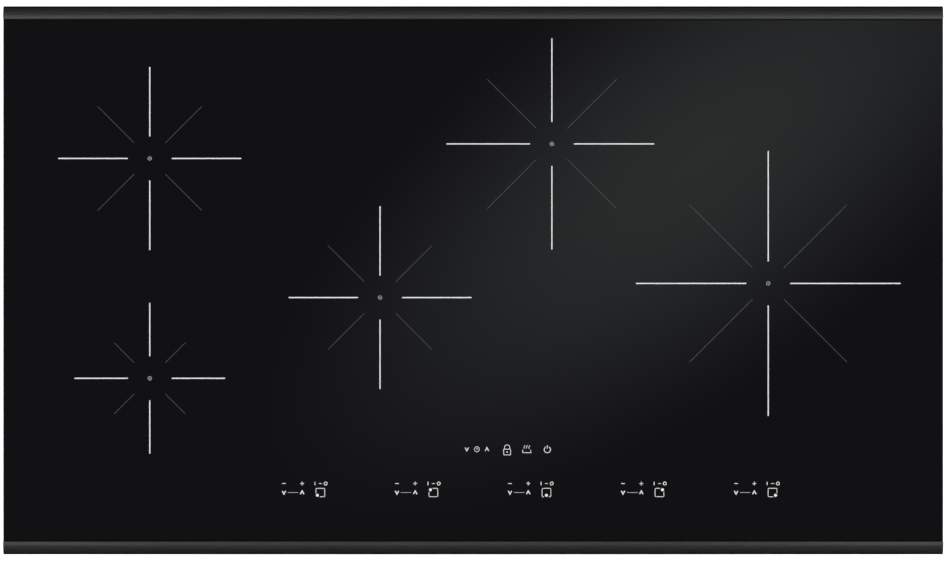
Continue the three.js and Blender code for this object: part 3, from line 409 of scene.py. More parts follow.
def plan_outline(x, y, dot):
    """The rounded square of the plan as a line that leaves a gap round the dot: the points
    further from the dot than the gap, taken in order from the gap's end."""
    whole = rounded_outline(*PLAN, 0.0009, 6)
    edges = np.roll(whole, -1, 0) - whole
    along = np.linspace(0, 1, 12, endpoint=False)
    fine = (whole[:, None] + edges[:, None] * along[None, :, None]).reshape(-1, 2)
    clear = np.linalg.norm(fine - np.array(dot) * PLAN, axis=1) > DOT_CLEAR
    start = int(np.argmax(clear & ~np.roll(clear, 1)))
    ordered = np.roll(fine, -start, 0)[np.roll(clear, -start)]
    steps = np.linalg.norm(np.diff(ordered, axis=0), axis=1)
    return ordered[np.append(True, steps > 1e-6)] + (x, y)


for group, (x, dot) in enumerate(zip(GROUP_X, DOTS), start=1):
    up_x, plan_x, sign_y = x + UP_STEP, x + PLAN_STEP, KEY_ROW + SIGN_RISE
    arrows = [(ARROW + (x, KEY_ROW), 0.0010), (ARROW * (1, -1) + (up_x, KEY_ROW), 0.0010)]
    signs = [([(x - 0.0018, sign_y), (x + 0.0018, sign_y)], 0.0007),
             ([(up_x - 0.0018, sign_y), (up_x + 0.0018, sign_y)], 0.0007),
             ([(up_x, sign_y - 0.0018), (up_x, sign_y + 0.0018)], 0.0007),
             ([(x + 0.0308, sign_y - 0.0017), (x + 0.0308, sign_y + 0.0017)], 0.0008),
             ([(x + 0.0346, sign_y), (x + 0.0376, sign_y)], 0.0006),
             (arc(x + 0.0414, sign_y, 0.0015, loop=True), 0.0007, True)]
    piece(f"key_arrows_{group}", printed(*arrows), white_enamel)
    piece(f"key_signs_{group}", printed(*signs), white_enamel)
    link = ([(x + 0.0039, KEY_ROW), (x + 0.0143, KEY_ROW)], 0.00045)
    piece(f"key_link_{group}", printed(link), pale_enamel)
    outline = (plan_outline(plan_x, KEY_ROW, dot), 0.0006)
    spot = disc(plan_x + dot[0] * PLAN[0], KEY_ROW + dot[1] * PLAN[1], DOT_RADIUS, *PRINT)
    piece(f"key_plan_{group}", joined([printed(outline), spot]), white_enamel)

# The second row serves the whole hob: timer arrows round a clock, a padlock, a pan kept
# warm, and the main switch.
UPPER_ROW = cad_low.y + 0.10425
UPPER_X = less_x, more_x, lock_x, pan_x, power_x = -0.0063, 0.0136, 0.0336, 0.0530, 0.0734
clock_x = (less_x + more_x) / 2
timer = [(ARROW + (less_x, UPPER_ROW), 0.0009),
         (ARROW * (1, -1) + (more_x, UPPER_ROW), 0.0009),
         (arc(clock_x, UPPER_ROW, 0.0025, loop=True), 0.0005, True),
         ([(clock_x, UPPER_ROW + 0.0015), (clock_x, UPPER_ROW), (0.0048, UPPER_ROW)], 0.0005)]
piece("timer_keys", printed(*timer), white_enamel)
lock_y, bow = UPPER_ROW - 0.0006, 0.0026  # the bow is the padlock's steel loop
loop = np.concatenate([[(lock_x + bow, lock_y + 0.0008)], arc(lock_x, lock_y + 0.0023, bow, 0, 180, 14),
                       [(lock_x - bow, lock_y + 0.0008)]])
lock = [(rounded_outline(0.0034, 0.0028, 0.0006, 4) + (lock_x, lock_y - 0.0022), 0.0006, True),
        (loop, 0.0006),
        ([(lock_x, lock_y - 0.0014), (lock_x, lock_y - 0.0031)], 0.0009)]
piece("lock_key", printed(*lock), white_enamel)
waves = np.linspace(-1, 1, 17)
wave = np.column_stack([0.0005 * np.sin(waves * np.pi), 0.0022 + 0.0017 * waves])
steam = [(wave + (pan_x + dx, UPPER_ROW), 0.0005) for dx in (-0.0024, 0.0, 0.0024)]
pan = np.array([(-0.0040, -0.0006), (-0.0040, -0.0034), (0.0040, -0.0034), (0.0040, -0.0006)])
piece("keep_warm_key", printed(*steam, (pan + (pan_x, UPPER_ROW), 0.0006)), white_enamel)
power = [(arc(power_x, UPPER_ROW - 0.0004, 0.0031, 122, 418, 40), 0.0007),
         ([(power_x, UPPER_ROW + 0.0004), (power_x, UPPER_ROW + 0.0038)], 0.0007)]
piece("main_switch_key", printed(*power), white_enamel)


# ---- Front and rear trims ----
# Extruded aluminium, anodised dark and brushed lengthways. Each has a crowned lip over the
# glass, a solid web outside it and a lip under it. Its rounded outer edge is a separate
# near-black piece, painted shade, and a near-black bead on the glass along its inner edge is a painted shadow
# line.

def along_x(section, half_length, end_break):
    """Carries a closed section of (y, z) points along X: full size between the ends, and
    drawn in towards its middle by the end break just before them."""
    centre = section.mean(0)
    inwards = (centre - section) / np.linalg.norm(centre - section, axis=1, keepdims=True)
    drawn = section + inwards * end_break
    stations = [(-half_length, drawn), (-half_length + end_break, section),
                (half_length - end_break, section), (half_length, drawn)]
    return skin(np.stack([np.column_stack([np.full(len(s), x), s]) for x, s in stations]))


TRIM_WIDTH, CROWN_DROP, OUTER_ROUND = 0.0130, 0.0024, 0.0020
TRIM_WEB, TRIM_GRIP, TRIM_FLOOR, TRIM_BREAK, FIT = 0.0052, 0.0110, 0.0015, 0.0003, 0.0003
SHADED_EDGE = 0.0016  # width of the rounded outer edge, drawn as a near-black piece: painted shade
trim_top, under_glass = cad_high.z, glass_low.z - FIT
crown_end = TRIM_WIDTH - TRIM_BREAK
crown_radius = (crown_end ** 2 + CROWN_DROP ** 2) / (2 * CROWN_DROP)
inward = np.linspace(SHADED_EDGE, crown_end, 26)
crown_height = np.sqrt(crown_radius ** 2 - (crown_end - inward) ** 2) - crown_radius
crown = np.column_stack([inward, trim_top + crown_height])
lip_bottom, trim_bottom = glass_high.z + FIT, under_glass - TRIM_FLOOR
rest = np.array([[TRIM_WIDTH, trim_top - TRIM_BREAK], [TRIM_WIDTH, lip_bottom], [TRIM_WEB, lip_bottom],
                 [TRIM_WEB, under_glass], [TRIM_GRIP, under_glass], [TRIM_GRIP, trim_bottom],
                 [SHADED_EDGE, trim_bottom]])
trim_section = np.concatenate([crown, rest])
bend = np.linspace(0, 1, 9)
# The rounded outer edge of the crown goes to its own near-black piece: painted shade.
shaded_edge_curve = np.column_stack([SHADED_EDGE * bend ** 2, crown[0, 1] - OUTER_ROUND * (1 - bend) ** 2])
shaded_edge_section = np.concatenate([shaded_edge_curve, [[SHADED_EDGE, trim_bottom], [0, trim_bottom]]])
# A small bead on the glass against the lip's inner edge, near-black: a painted shadow line.
shadow_line_section = np.array([[0.0010, -SUNK], [-0.0002, -SUNK], [0, 0.0009], [0.0004, 0.0007], [0.0009, 0.0003]])
shadow_line_section = shadow_line_section + [TRIM_WIDTH, glass_high.z]


def grained(name, dark, pale, scale, detail, gloss=None, relief=None, stretch=(1, 1, 1), **sockets):
    """A finish whose pattern is plain noise over the piece's own coordinates: scale times
    stretch is the number of its waves to the metre along X, Y and Z. The rest is as for lay_on()."""
    made, tree, shader = new_material(name, **sockets)
    place = add_node(tree, "ShaderNodeTexCoord").outputs["Object"]
    if stretch != (1, 1, 1):
        place = add_node(tree, "ShaderNodeMapping", {"Vector": place, "Scale": stretch}).outputs[0]
    grain = add_node(tree, "ShaderNodeTexNoise", {"Vector": place, "Scale": scale, "Detail": detail})
    lay_on(tree, shader, grain.outputs["Fac"], dark, pale, gloss, relief)
    return made


# Dark anodised aluminium, brushed lengthways: hair lines about 0.3 mm apart and 60 mm long
# turn its gloss into a satin band.
anodised = grained("dark_anodised_aluminium", "5f5f5d", "737371", 1.0, 2.0, gloss=(0.28, 0.38),
                   relief=(0.12, 0.00005), stretch=(16, 3300, 3300), Metallic=1.0)

# Near-black for the painted shade on the trims' rounded outer edges and the painted shadow line along their
# inner edges: matt, nearly no shine, with a fine grain.
near_black_shade = grained("painted_shade_near_black", "030303", "070707", 2500.0, 2.0, relief=(0.2, 0.0001),
                       Roughness=0.9, IOR=1.45, Specular_IOR_Level=0.12)


def standing(section, side):
    """Turns distances inward from the outer edge into y, counter-clockwise for either side."""
    placed = np.column_stack([side * (cad_high.y - section[:, 0]), section[:, 1]])
    return placed[::-1] if side < 0 else placed


for edge_name, side in (("front", -1), ("rear", 1)):
    trim = along_x(standing(trim_section, side), half_x, 0.0004)
    piece("trim_extrusion_" + edge_name, trim, anodised, stands_for=["trim_" + edge_name])
    # The rounded outer edge, near-black: painted shade.
    strip = along_x(standing(shaded_edge_section, side), half_x, 0.0003)
    piece("trim_painted_shade_edge_" + edge_name, strip, near_black_shade)
    # The bead along the inner edge, near-black: a painted shadow line.
    bead = along_x(standing(shadow_line_section, side), half_x - 0.001, 0.0002)
    piece("trim_painted_shadow_line_" + edge_name, bead, near_black_shade)


# ---- Foam seal ----
# A loop of closed-cell rubber foam stuck under the glass, which lies on the worktop and
# keeps water out of the cut-out. It is cut from strip and a little bulged at its sides.

seal_low, seal_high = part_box("foam_seal")
SEAL_WIDTH, SEAL_CORNER, SWELL = 0.0120, 0.0120, 0.0003
bulge = [(SWELL, 0), (0, 0.3), (0, 0.7), (SWELL, 1), (0.0040, 1), (0.0080, 1), (SEAL_WIDTH - SWELL, 1),
         (SEAL_WIDTH, 0.7), (SEAL_WIDTH, 0.3), (SEAL_WIDTH - SWELL, 0), (0.0080, 0), (0.0040, 0)]
outlines = [rounded_outline(seal_high.x - i, seal_high.y - i, SEAL_CORNER - i / 2, 10) for i, _ in bulge]
levels = [seal_low.z + share * (seal_high.z - seal_low.z) for _, share in bulge]

# Closed-cell rubber foam: dull dark grey with pores about 0.4 mm wide.
foam, tree, shader = new_material("closed_cell_rubber_foam", Roughness=0.95, IOR=1.45,
                                  Specular_IOR_Level=0.25)
place = add_node(tree, "ShaderNodeTexCoord")
cells = add_node(tree, "ShaderNodeTexVoronoi", {"Vector": place.outputs["Object"], "Scale": 2200.0})
lay_on(tree, shader, cells.outputs["Distance"], "1c1c1e", "333336", relief=(0.5, 0.0002))
seal = piece("foam_seal_loop", skin(stacked(outlines, levels), closed=True), foam, stands_for=["foam_seal"])


# ---- Glass frame and burner box ----
# Both are folded from hot-dip galvanised sheet steel. The frame is bonded under the glass
# and its skirt hangs over the box's rim, where short sheet metal screws hold the two.

def finish_nodes(material, *nodes):
    """Gives CAD nodes, whose shapes stay as they are, a material in their slots."""
    for node in nodes:
        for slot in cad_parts[node].material_slots:
            slot.material = material


# Hot-dip galvanised steel: grey zinc frozen in spangles about 8 mm across, each with its own
# brightness, under faint rolling lines.
zinc_steel, tree, shader = new_material("galvanised_sheet_steel", Metallic=0.85)
place = add_node(tree, "ShaderNodeTexCoord").outputs["Object"]
edge = add_node(tree, "ShaderNodeTexNoise", {"Vector": place, "Scale": 160.0, "Detail": 2.0})
wander = add_node(tree, "ShaderNodeVectorMath", {0: edge.outputs["Color"], "Scale": 0.006}, operation="SCALE")
moved = add_node(tree, "ShaderNodeVectorMath", {0: place, 1: wander.outputs[0]}, operation="ADD")
spangle = add_node(tree, "ShaderNodeTexVoronoi", {"Vector": moved.outputs[0], "Scale": 120.0})
lay_on(tree, shader, spangle.outputs["Color"], "8f9497", "b9bdbf", gloss=(0.34, 0.52))
rolled = add_node(tree, "ShaderNodeBump",
                  {"Height": edge.outputs["Fac"], "Strength": 0.08, "Distance": 0.0003})
tree.links.new(rolled.outputs[0], shader.inputs["Normal"])
finish_nodes(zinc_steel, "glass_frame", "burner_box", "junction_cover", "clamp_bracket_left",
             "clamp_bracket_right")

# Zinc plated screw steel: bright, bluish, with fine turning marks.
screw_steel = grained("zinc_plated_screw_steel", "9a9fa3", "c3c7ca", 1500.0, 3.0,
                      gloss=(0.24, 0.4), Metallic=1.0)


def facing(surface, at, aim):
    """Turns a surface built up the Z axis so that Z points along aim, and moves it to a place:
    each point becomes x times a side vector, plus y times the other, plus z times aim."""
    aim = np.array(aim, float)
    side = np.cross([0, 0, 1], aim) if abs(aim[2]) < 0.9 else np.array([1.0, 0, 0])
    side = side / np.linalg.norm(side)
    points = surface[0] @ np.array([side, np.cross(aim, side), aim]) + np.array(at)
    return points, surface[1], surface[2]


def turned(profile, steps=24, sides=None, round_to=0.0, closed=False):
    """A turned part: circles of each (radius, height) of the profile, stacked. With sides, the
    circles wider than round_to are drawn in between that many corners, as for a hexagon. With
    closed the last circle joins the first, which gives a ring."""
    turn = np.arange(steps) * 2 * np.pi / steps
    circle = np.column_stack([np.cos(turn), np.sin(turn)])
    cornered = circle
    if sides:
        wedge = 2 * np.pi / sides
        cornered = circle * (np.cos(wedge / 2) / np.cos(turn % wedge - wedge / 2))[:, None]
    rings = [(cornered if radius > round_to else circle) * radius for radius, _ in profile]
    return skin(stacked(rings, [z for _, z in profile]), closed)


def hex_screw(at, aim, size=1.0):
    """A hexagon-headed sheet metal screw with a washer flange, seen from outside the sheet."""
    washer = turned([(0.0046, 0), (0.0048, 0.0004), (0.0044, 0.0009), (0.0030, 0.0010)])
    head = turned([(0.0034, 0.0008), (0.0034, 0.0030), (0.0031, 0.0035), (0.0012, 0.0034)], 24, 6)
    both = joined([washer, head])
    return facing((both[0] * size, both[1], both[2]), at, aim)


box_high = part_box("burner_box")[1]
SKIRT_OUT = 0.0015  # the skirt's outer face, from the box's
skirt_x, skirt_y = box_high.x + SKIRT_OUT, box_high.y + SKIRT_OUT
skirt_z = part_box("glass_frame")[0].z + 0.0075
rows = [hex_screw((x, side * skirt_y, skirt_z), (0, side, 0))
        for side in (-1, 1) for x in (-0.36, -0.18, 0.0, 0.18, 0.36)]
rows += [hex_screw((side * skirt_x, y, skirt_z), (side, 0, 0)) for side in (-1, 1) for y in (-0.15, 0.15)]
piece("skirt_screws", joined(rows), screw_steel)

# A rolled rib runs round the box's walls between the exhaust slots and the skirt. It stands
# out by less than a millimetre and stops the walls from drumming.
RIB = [(0.0, -0.0032), (0.0005, -0.0024), (0.0008, -0.0010), (0.0009, 0.0), (0.0008, 0.0010),
       (0.0005, 0.0024), (0.0, 0.0032), (-0.0003, 0.0)]
RIB_LEVEL, WALL_BEND = 0.100, 0.006
loops = stacked([rounded_outline(box_high.x + out, box_high.y + out, WALL_BEND + out, 10) for out, _ in RIB],
                [RIB_LEVEL + up for _, up in RIB])
piece("box_rib", skin(loops, closed=True), zinc_steel)


# ---- Wiring cover and conduit gland ----
# A small galvanised plate closes the wiring recess. A zinc die-cast gland with a hexagon
# body, a threaded neck and a lock nut holds the conduit in it.

cover_low, cover_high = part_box("junction_cover")
CORNER_IN = 0.006
cover_screws = [hex_screw((corner.x + inset, corner.y + inset, cover_low.z), (0, 0, -1), 0.7)
                for corner, inset in ((cover_low, CORNER_IN), (cover_high, -CORNER_IN))]
piece("cover_screws", joined(cover_screws), screw_steel)


def stood(surface, x, y, z=0.0):
    """Moves a surface to its place."""
    return surface[0] + [x, y, z], surface[1], surface[2]


gland_low, gland_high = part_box("conduit_gland")
BORE, NECK, HEXAGON_FROM = 0.0080, 0.0108, 0.0130  # what is wider than the last is six-sided
shoulder = cover_low.z - 0.0003
RIDGES = 20
neck = [(NECK - 0.0004 * (i % 2), shoulder + i * (gland_high.z - shoulder) / RIDGES)
        for i in range(RIDGES + 1)]
gland_profile = [(BORE, gland_low.z), (0.0125, gland_low.z), (0.0138, gland_low.z + 0.0012),
                 (0.0138, shoulder - 0.0002), (0.0132, shoulder)] + neck + [(BORE, gland_high.z)]
nut_profile = [(NECK + 0.0001, 0.0341), (0.0138, 0.0341), (0.0149, 0.0348), (0.0149, 0.0373),
               (0.0138, 0.0380), (NECK + 0.0001, 0.0380)]
gland_body, lock_nut = (stood(turned(profile, 48, 6, HEXAGON_FROM, closed=True), *middle_of("conduit_gland"))
                        for profile in (gland_profile, nut_profile))

# Zinc die casting: dull light grey with a fine pebbled skin.
die_cast = grained("zinc_die_casting", "85888a", "a4a7a8", 1100.0, 3.0, relief=(0.25, 0.0001),
                   Metallic=0.9, Roughness=0.48)
piece("gland_body", gland_body, die_cast, stands_for=["conduit_gland"])
piece("gland_lock_nut", lock_nut, die_cast)


# ---- Terminal block and mains harness ----
# A moulded nylon block with four screw clamps takes the house wiring, and a sleeved harness
# carries it along the rear wall to the middle board.

# Moulded white nylon: half gloss, slightly warm, with a faint mould texture.
white_nylon = grained("moulded_white_nylon", "d5d2c9", "e6e4dd", 900.0, 2.0, relief=(0.1, 0.0001),
                      Roughness=0.45, IOR=1.53, Subsurface_Weight=0.05)
finish_nodes(white_nylon, "terminal_block", "control_tray")

# Clamp screws of thinly nickel plated brass, warm where the brass shows through, one in each
# well.
brass = grained("nickel_plated_brass", "b9a566", "d2c283", 800.0, 2.0, Metallic=1.0, Roughness=0.28)
block_low, block_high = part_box("terminal_block")
block_x = (block_low.x + block_high.x) / 2
pitch = (block_high.y - block_low.y) / 4
clamp_head = turned([(0.0033, 0), (0.0033, 0.0024), (0.0028, 0.0030), (0.0010, 0.0030)])
clamp_heads = [stood(clamp_head, block_x, block_low.y + (i + 0.5) * pitch, block_high.z - 0.0100)
               for i in range(4)]
piece("terminal_screws", joined(clamp_heads), brass)


def tube(path, radius, sides=12):
    """A round rod along a path: at each point a circle in the plane across the path, whose
    first axis is the path's direction crossed with the vertical."""
    path = np.asarray(path, float)
    ahead = np.gradient(path, axis=0)
    ahead /= np.linalg.norm(ahead, axis=1, keepdims=True)
    across = np.cross(ahead, [0, 0, 1])
    across /= np.linalg.norm(across, axis=1, keepdims=True)
    up = np.cross(across, ahead)
    turn = np.arange(sides) * 2 * np.pi / sides
    circle = across[:, None] * np.cos(turn)[None, :, None] + up[:, None] * np.sin(turn)[None, :, None]
    return skin((path[:, None] + radius * circle)[:, ::-1])


def through(points, steps):
    """A smooth line through points: on each stretch the cubic blend of its two end points and
    of the chords across them (Catmull-Rom)."""
    points = np.asarray(points, float)
    wide = np.concatenate([[2 * points[0] - points[1]], points, [2 * points[-1] - points[-2]]])
    t = np.linspace(0, len(points) - 1, steps)
    i = np.minimum(t.astype(int), len(points) - 2)
    t = (t - i)[:, None]
    a, b, c, d = wide[i], wide[i + 1], wide[i + 2], wide[i + 3]
    cubic = (3 * b - a - 3 * c + d) * t ** 3
    return 0.5 * (2 * b + (c - a) * t + (2 * a - 5 * b + 4 * c - d) * t ** 2 + cubic)


board_low, board_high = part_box("power_board_centre")
recess_y = (block_low.y + block_high.y) / 2
start_x, board_y = block_low.x - 0.0005, (board_low.y + board_high.y) / 2 + 0.0005
along_wall = [(start_x, 0.014), (start_x - 0.012, 0.014), (start_x - 0.032, 0.024), (start_x - 0.064, 0.027),
              (0.150, 0.027), (0.040, 0.026), (-0.040, 0.022), (-0.072, 0.006)]
to_board = [(-0.084, 0.230, 0.015), (-0.088, 0.190, 0.016), (-0.096, 0.146, 0.017), (-0.100, 0.110, 0.017),
            (-0.100, 0.088, 0.017)]
route = [(x, recess_y + back, 0.014) for x, back in along_wall]
route += [(x, board_y + back, z) for x, back, z in to_board]

# Varnished glass-fibre sleeve over the mains wires: black, dull, braided about 1.2 mm wide.
# The braid follows the sleeve's own length and girth.
sleeve, tree, shader = new_material("braided_glass_sleeve", Roughness=0.62, IOR=1.5)
run = add_node(tree, "ShaderNodeUVMap", uv_map="run")
braids = []
for slant in (1, -1):
    lean = add_node(tree, "ShaderNodeMapping", {"Vector": run.outputs[0], "Scale": (1, slant, 1)})
    braids.append(add_node(tree, "ShaderNodeTexWave", {"Vector": lean.outputs[0], "Scale": 370.0},
                           bands_direction="DIAGONAL"))
weave = add_node(tree, "ShaderNodeMath", {0: braids[0].outputs["Fac"], 1: braids[1].outputs["Fac"]},
                 operation="MAXIMUM")
lay_on(tree, shader, weave.outputs[0], "161617", "34343a", relief=(0.6, 0.0003))


def run_along(made, path, sides, girth):
    """Gives a tube its own map: u is the length run along the path and v the way round its
    girth, both in metres, for each corner of each face in the order that skin() lays them."""
    lengths = np.append(0, np.cumsum(np.linalg.norm(np.diff(path, axis=0), axis=1)))
    i, j = np.meshgrid(np.arange(len(path) - 1), np.arange(sides), indexing="ij")
    corners = [(i, j), (i, j + 1), (i + 1, j + 1), (i + 1, j)]
    uv = np.stack([np.stack([lengths[a], b * girth / sides], -1) for a, b in corners], 2).reshape(-1, 2)
    full = np.zeros((len(made.data.loops), 2))
    full[:len(uv)] = uv
    made.data.uv_layers.new(name="run").data.foreach_set("uv", full.ravel())


SLEEVE_RADIUS, SIDES = 0.0040, 16
line = through(route, 150)
harness = piece("mains_harness_sleeve", tube(line, SLEEVE_RADIUS, SIDES), sleeve,
                stands_for=["mains_harness"])
run_along(harness, line, SIDES, 2 * np.pi * SLEEVE_RADIUS)


# ---- Coil units ----
# Each zone has a flat spiral of litz wire on a moulded carrier with ferrite bars under it.
# A mica disc lies between it and the glass, a sensor stands in its middle, and the unit
# floats on one spring over the deck.

# Glass-filled heat-proof nylon: natural tan, dull, with short fibres showing.
carrier_nylon = grained("glass_filled_nylon", "7c6c4e", "9a8a68", 1.0, 3.0, relief=(0.2, 0.0001),
                        stretch=(900, 250, 900), Roughness=0.6, IOR=1.53)

# Litz wire: hundreds of enamelled copper strands twisted into one oval bundle. The strands
# show as slanting ridges about 0.9 mm apart.
litz, tree, shader = new_material("enamelled_copper_litz", Metallic=0.85, Roughness=0.4)
run = add_node(tree, "ShaderNodeUVMap", uv_map="run")
strands = add_node(tree, "ShaderNodeTexWave", {"Vector": run.outputs[0], "Scale": 495.0, "Distortion": 0.4},
                   bands_direction="DIAGONAL")
lay_on(tree, shader, strands.outputs["Fac"], "7a4018", "c4763a", relief=(0.7, 0.0003))

# Manganese-zinc ferrite: a pressed and fired ceramic, dark grey, dull, finely grained.
ferrite = grained("manganese_zinc_ferrite", "1f1f22", "37373b", 1600.0, 3.0, Roughness=0.55, IOR=2.0)

# Mica: pressed flakes of a few millimetres in a silicone binder, pale bronze with a glint.
mica, tree, shader = new_material("pressed_mica_sheet", IOR=1.58)
place = add_node(tree, "ShaderNodeTexCoord")
flakes = add_node(tree, "ShaderNodeTexVoronoi", {"Vector": place.outputs["Object"], "Scale": 330.0})
lay_on(tree, shader, flakes.outputs["Color"], "a8966a", "cfc095", gloss=(0.22, 0.6))

# Steatite: the sensor's fired white ceramic, silky, with faint grey specks.
steatite = grained("fired_steatite", "cfcabd", "ebe7de", 1400.0, 4.0, Roughness=0.4, IOR=1.6)

# Patented spring wire: drawn, blued, with lengthwise die lines.
spring_wire, tree, shader = new_material("drawn_spring_wire", Metallic=1.0, Roughness=0.32)
run = add_node(tree, "ShaderNodeUVMap", uv_map="run")
drawn = add_node(tree, "ShaderNodeMapping", {"Vector": run.outputs[0], "Scale": (60, 6000, 1)})
lines = add_node(tree, "ShaderNodeTexNoise", {"Vector": drawn.outputs[0], "Scale": 1.0, "Detail": 2.0})
lay_on(tree, shader, lines.outputs["Fac"], "6b7076", "979ca1")

COIL_BORE, STRAND_PITCH, STRAND_GIRTH = 0.0220, 0.0040, 0.014
BARS, BAR_START, BAR_HALF, BAR_CHAMFER = 8, 0.0215, 0.0070, 0.0005
SPRING_TURNS, SPRING_RADIUS, SPRING_WIRE = 3, 0.0132, 0.0016
LYING = 0.35  # turns at either end of the spring that lie flat


def oval_spiral(middle, inner, outer, bottom, top, pitch):
    """A flat spiral of oval wire: the radius grows by one pitch a turn, and round each point a
    squarish oval is drawn, as wide as the pitch allows and as high as the winding."""
    reach = outer - inner - pitch
    turns = np.floor(reach / pitch * 4) / 4
    angle = np.linspace(0, turns * 2 * np.pi, int(turns * 44))
    radius = inner + pitch / 2 + angle / (2 * np.pi) * reach / turns
    around = np.arange(10) * 2 * np.pi / 10 + np.pi / 10
    squarish = np.column_stack([np.sign(np.cos(around)) * np.abs(np.cos(around)) ** 0.75,
                                np.sign(np.sin(around)) * np.abs(np.sin(around)) ** 0.75])
    squarish /= np.abs(squarish).max(0)
    half_width, half_height = pitch * 0.485, (top - bottom) / 2
    r = radius[:, None] + half_width * squarish[None, :, 0]
    z = (top + bottom) / 2 + half_height * squarish[None, :, 1] + 0 * r
    x, y = middle[0] + r * np.cos(angle)[:, None], middle[1] + r * np.sin(angle)[:, None]
    path = np.column_stack([radius * np.cos(angle), radius * np.sin(angle), 0 * angle])
    return skin(np.stack([x, y, z], -1)[:, ::-1]), path


for zone in ZONE_REACH:
    low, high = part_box("coil_winding_" + zone)
    middle = middle_of("coil_winding_" + zone)
    body = "coil_" + zone
    outer = (high.x - low.x) / 2
    surface, path = oval_spiral(middle, COIL_BORE, outer, low.z, high.z, STRAND_PITCH)
    winding = piece("litz_winding_" + zone, surface, litz, body, stands_for=["coil_winding_" + zone])
    run_along(winding, path, 10, STRAND_GIRTH)

    bar_low, bar_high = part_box("ferrite_bars_" + zone)
    long_half = ((bar_high.x - bar_low.x) / 2 - BAR_START) / 2
    insets = (BAR_CHAMFER, 0, 0, BAR_CHAMFER)
    stick = stacked([rounded_outline(long_half - i, BAR_HALF - i, 0.0012, 4) for i in insets],
                    [bar_low.z, bar_low.z + BAR_CHAMFER, bar_high.z - BAR_CHAMFER, bar_high.z])
    stick = stick + [BAR_START + long_half, 0, 0]
    sticks = []
    for angle in np.arange(BARS) * 2 * np.pi / BARS:
        spin = np.array([[np.cos(angle), np.sin(angle), 0], [-np.sin(angle), np.cos(angle), 0], [0, 0, 1]])
        sticks.append(skin(stick @ spin + [*middle, 0]))
    piece("ferrite_bars_fine_" + zone, joined(sticks), ferrite, body, stands_for=["ferrite_bars_" + zone])

    spring_low, spring_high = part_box("coil_spring_" + zone)
    turn = np.linspace(0, SPRING_TURNS * 2 * np.pi, 121)
    wire = SPRING_WIRE / 2
    share = np.clip((turn / (2 * np.pi) - LYING) / (SPRING_TURNS - 2 * LYING), 0, 1)
    rise = spring_low.z + wire + (spring_high.z - spring_low.z - 2 * wire) * share
    helix = np.column_stack([middle[0] + SPRING_RADIUS * np.cos(turn),
                             middle[1] + SPRING_RADIUS * np.sin(turn), rise])
    spring = piece("float_spring_" + zone, tube(helix, wire, 10), spring_wire, "hob",
                   stands_for=["coil_spring_" + zone])
    run_along(spring, helix, 10, np.pi * SPRING_WIRE)
    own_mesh(spring)

    finish_nodes(carrier_nylon, "coil_carrier_" + zone)
    finish_nodes(mica, "mica_disc_" + zone)
    finish_nodes(steatite, "heat_sensor_" + zone)


# ---- Power boards ----
# Three glass-fibre boards on nylon standoffs carry the inverters: bus capacitors, film
# blocks, a pair of chokes and the coil plugs, all soldered from above.

def rounded_block(low, high, radius=0.0008):
    """A moulded block: rounded rectangles drawn in by the edge radius at the bottom and top."""
    low, high = np.array(low), np.array(high)
    half, centre = (high - low) / 2, (high + low) / 2
    draw = [radius, 0.3 * radius, 0, 0, 0.3 * radius, radius]
    levels = [low[2], low[2] + 0.3 * radius, low[2] + radius]
    levels += [high[2] - radius, high[2] - 0.3 * radius, high[2]]
    outlines = [rounded_outline(half[0] - d, half[1] - d, 1.5 * radius, 4) + centre[:2] for d in draw]
    return skin(stacked(outlines, levels))


# FR-4 board: green solder mask over copper tracks about 2 mm wide, half gloss.
circuit_board, tree, shader = new_material("green_solder_mask", Roughness=0.35, IOR=1.5)
place = add_node(tree, "ShaderNodeTexCoord")
tracks = add_node(tree, "ShaderNodeTexBrick",
                  {"Vector": place.outputs["Object"], "Scale": 1.0, "Mortar Size": 0.0004,
                   "Brick Width": 0.018, "Row Height": 0.0024, "Color1": linear("1c5b32"),
                   "Color2": linear("236b3c"), "Mortar": linear("12431f")})
tree.links.new(tracks.outputs["Color"], shader.inputs["Base Color"])
relief = add_node(tree, "ShaderNodeBump",
                  {"Height": tracks.outputs["Fac"], "Strength": 0.3, "Distance": 0.0001}, invert=True)
tree.links.new(relief.outputs[0], shader.inputs["Normal"])

# Capacitor sleeve: black heat-shrink film, glossy, a little wavy.
shrink_film = grained("black_shrink_film", "0d0e12", "191b21", 160.0, 1.0, relief=(0.2, 0.0003),
                      Roughness=0.22, IOR=1.5)

# Bare aluminium, drawn and extruded: pale grey with lengthwise die lines 0.4 mm apart.
bare_aluminium = grained("extruded_bare_aluminium", "b1b4b6", "d2d4d5", 1.0, 2.0, gloss=(0.28, 0.45),
                         stretch=(2500, 12, 2500), Metallic=1.0)
finish_nodes(bare_aluminium, "coil_deck", "heat_sink_left", "heat_sink_centre", "heat_sink_right")

# Cast epoxy film block: ochre, half gloss, with slight flow marks.
film_block = grained("cast_ochre_epoxy", "b07f1e", "c8962f", 240.0, 2.0, Roughness=0.32, IOR=1.55)

# Magnet wire: round copper under amber enamel, glossy, a little darker where the coat is thick.
magnet_wire = grained("enamelled_copper_wire", "8a4519", "c67b3c", 420.0, 2.0, Metallic=0.9, Roughness=0.3)

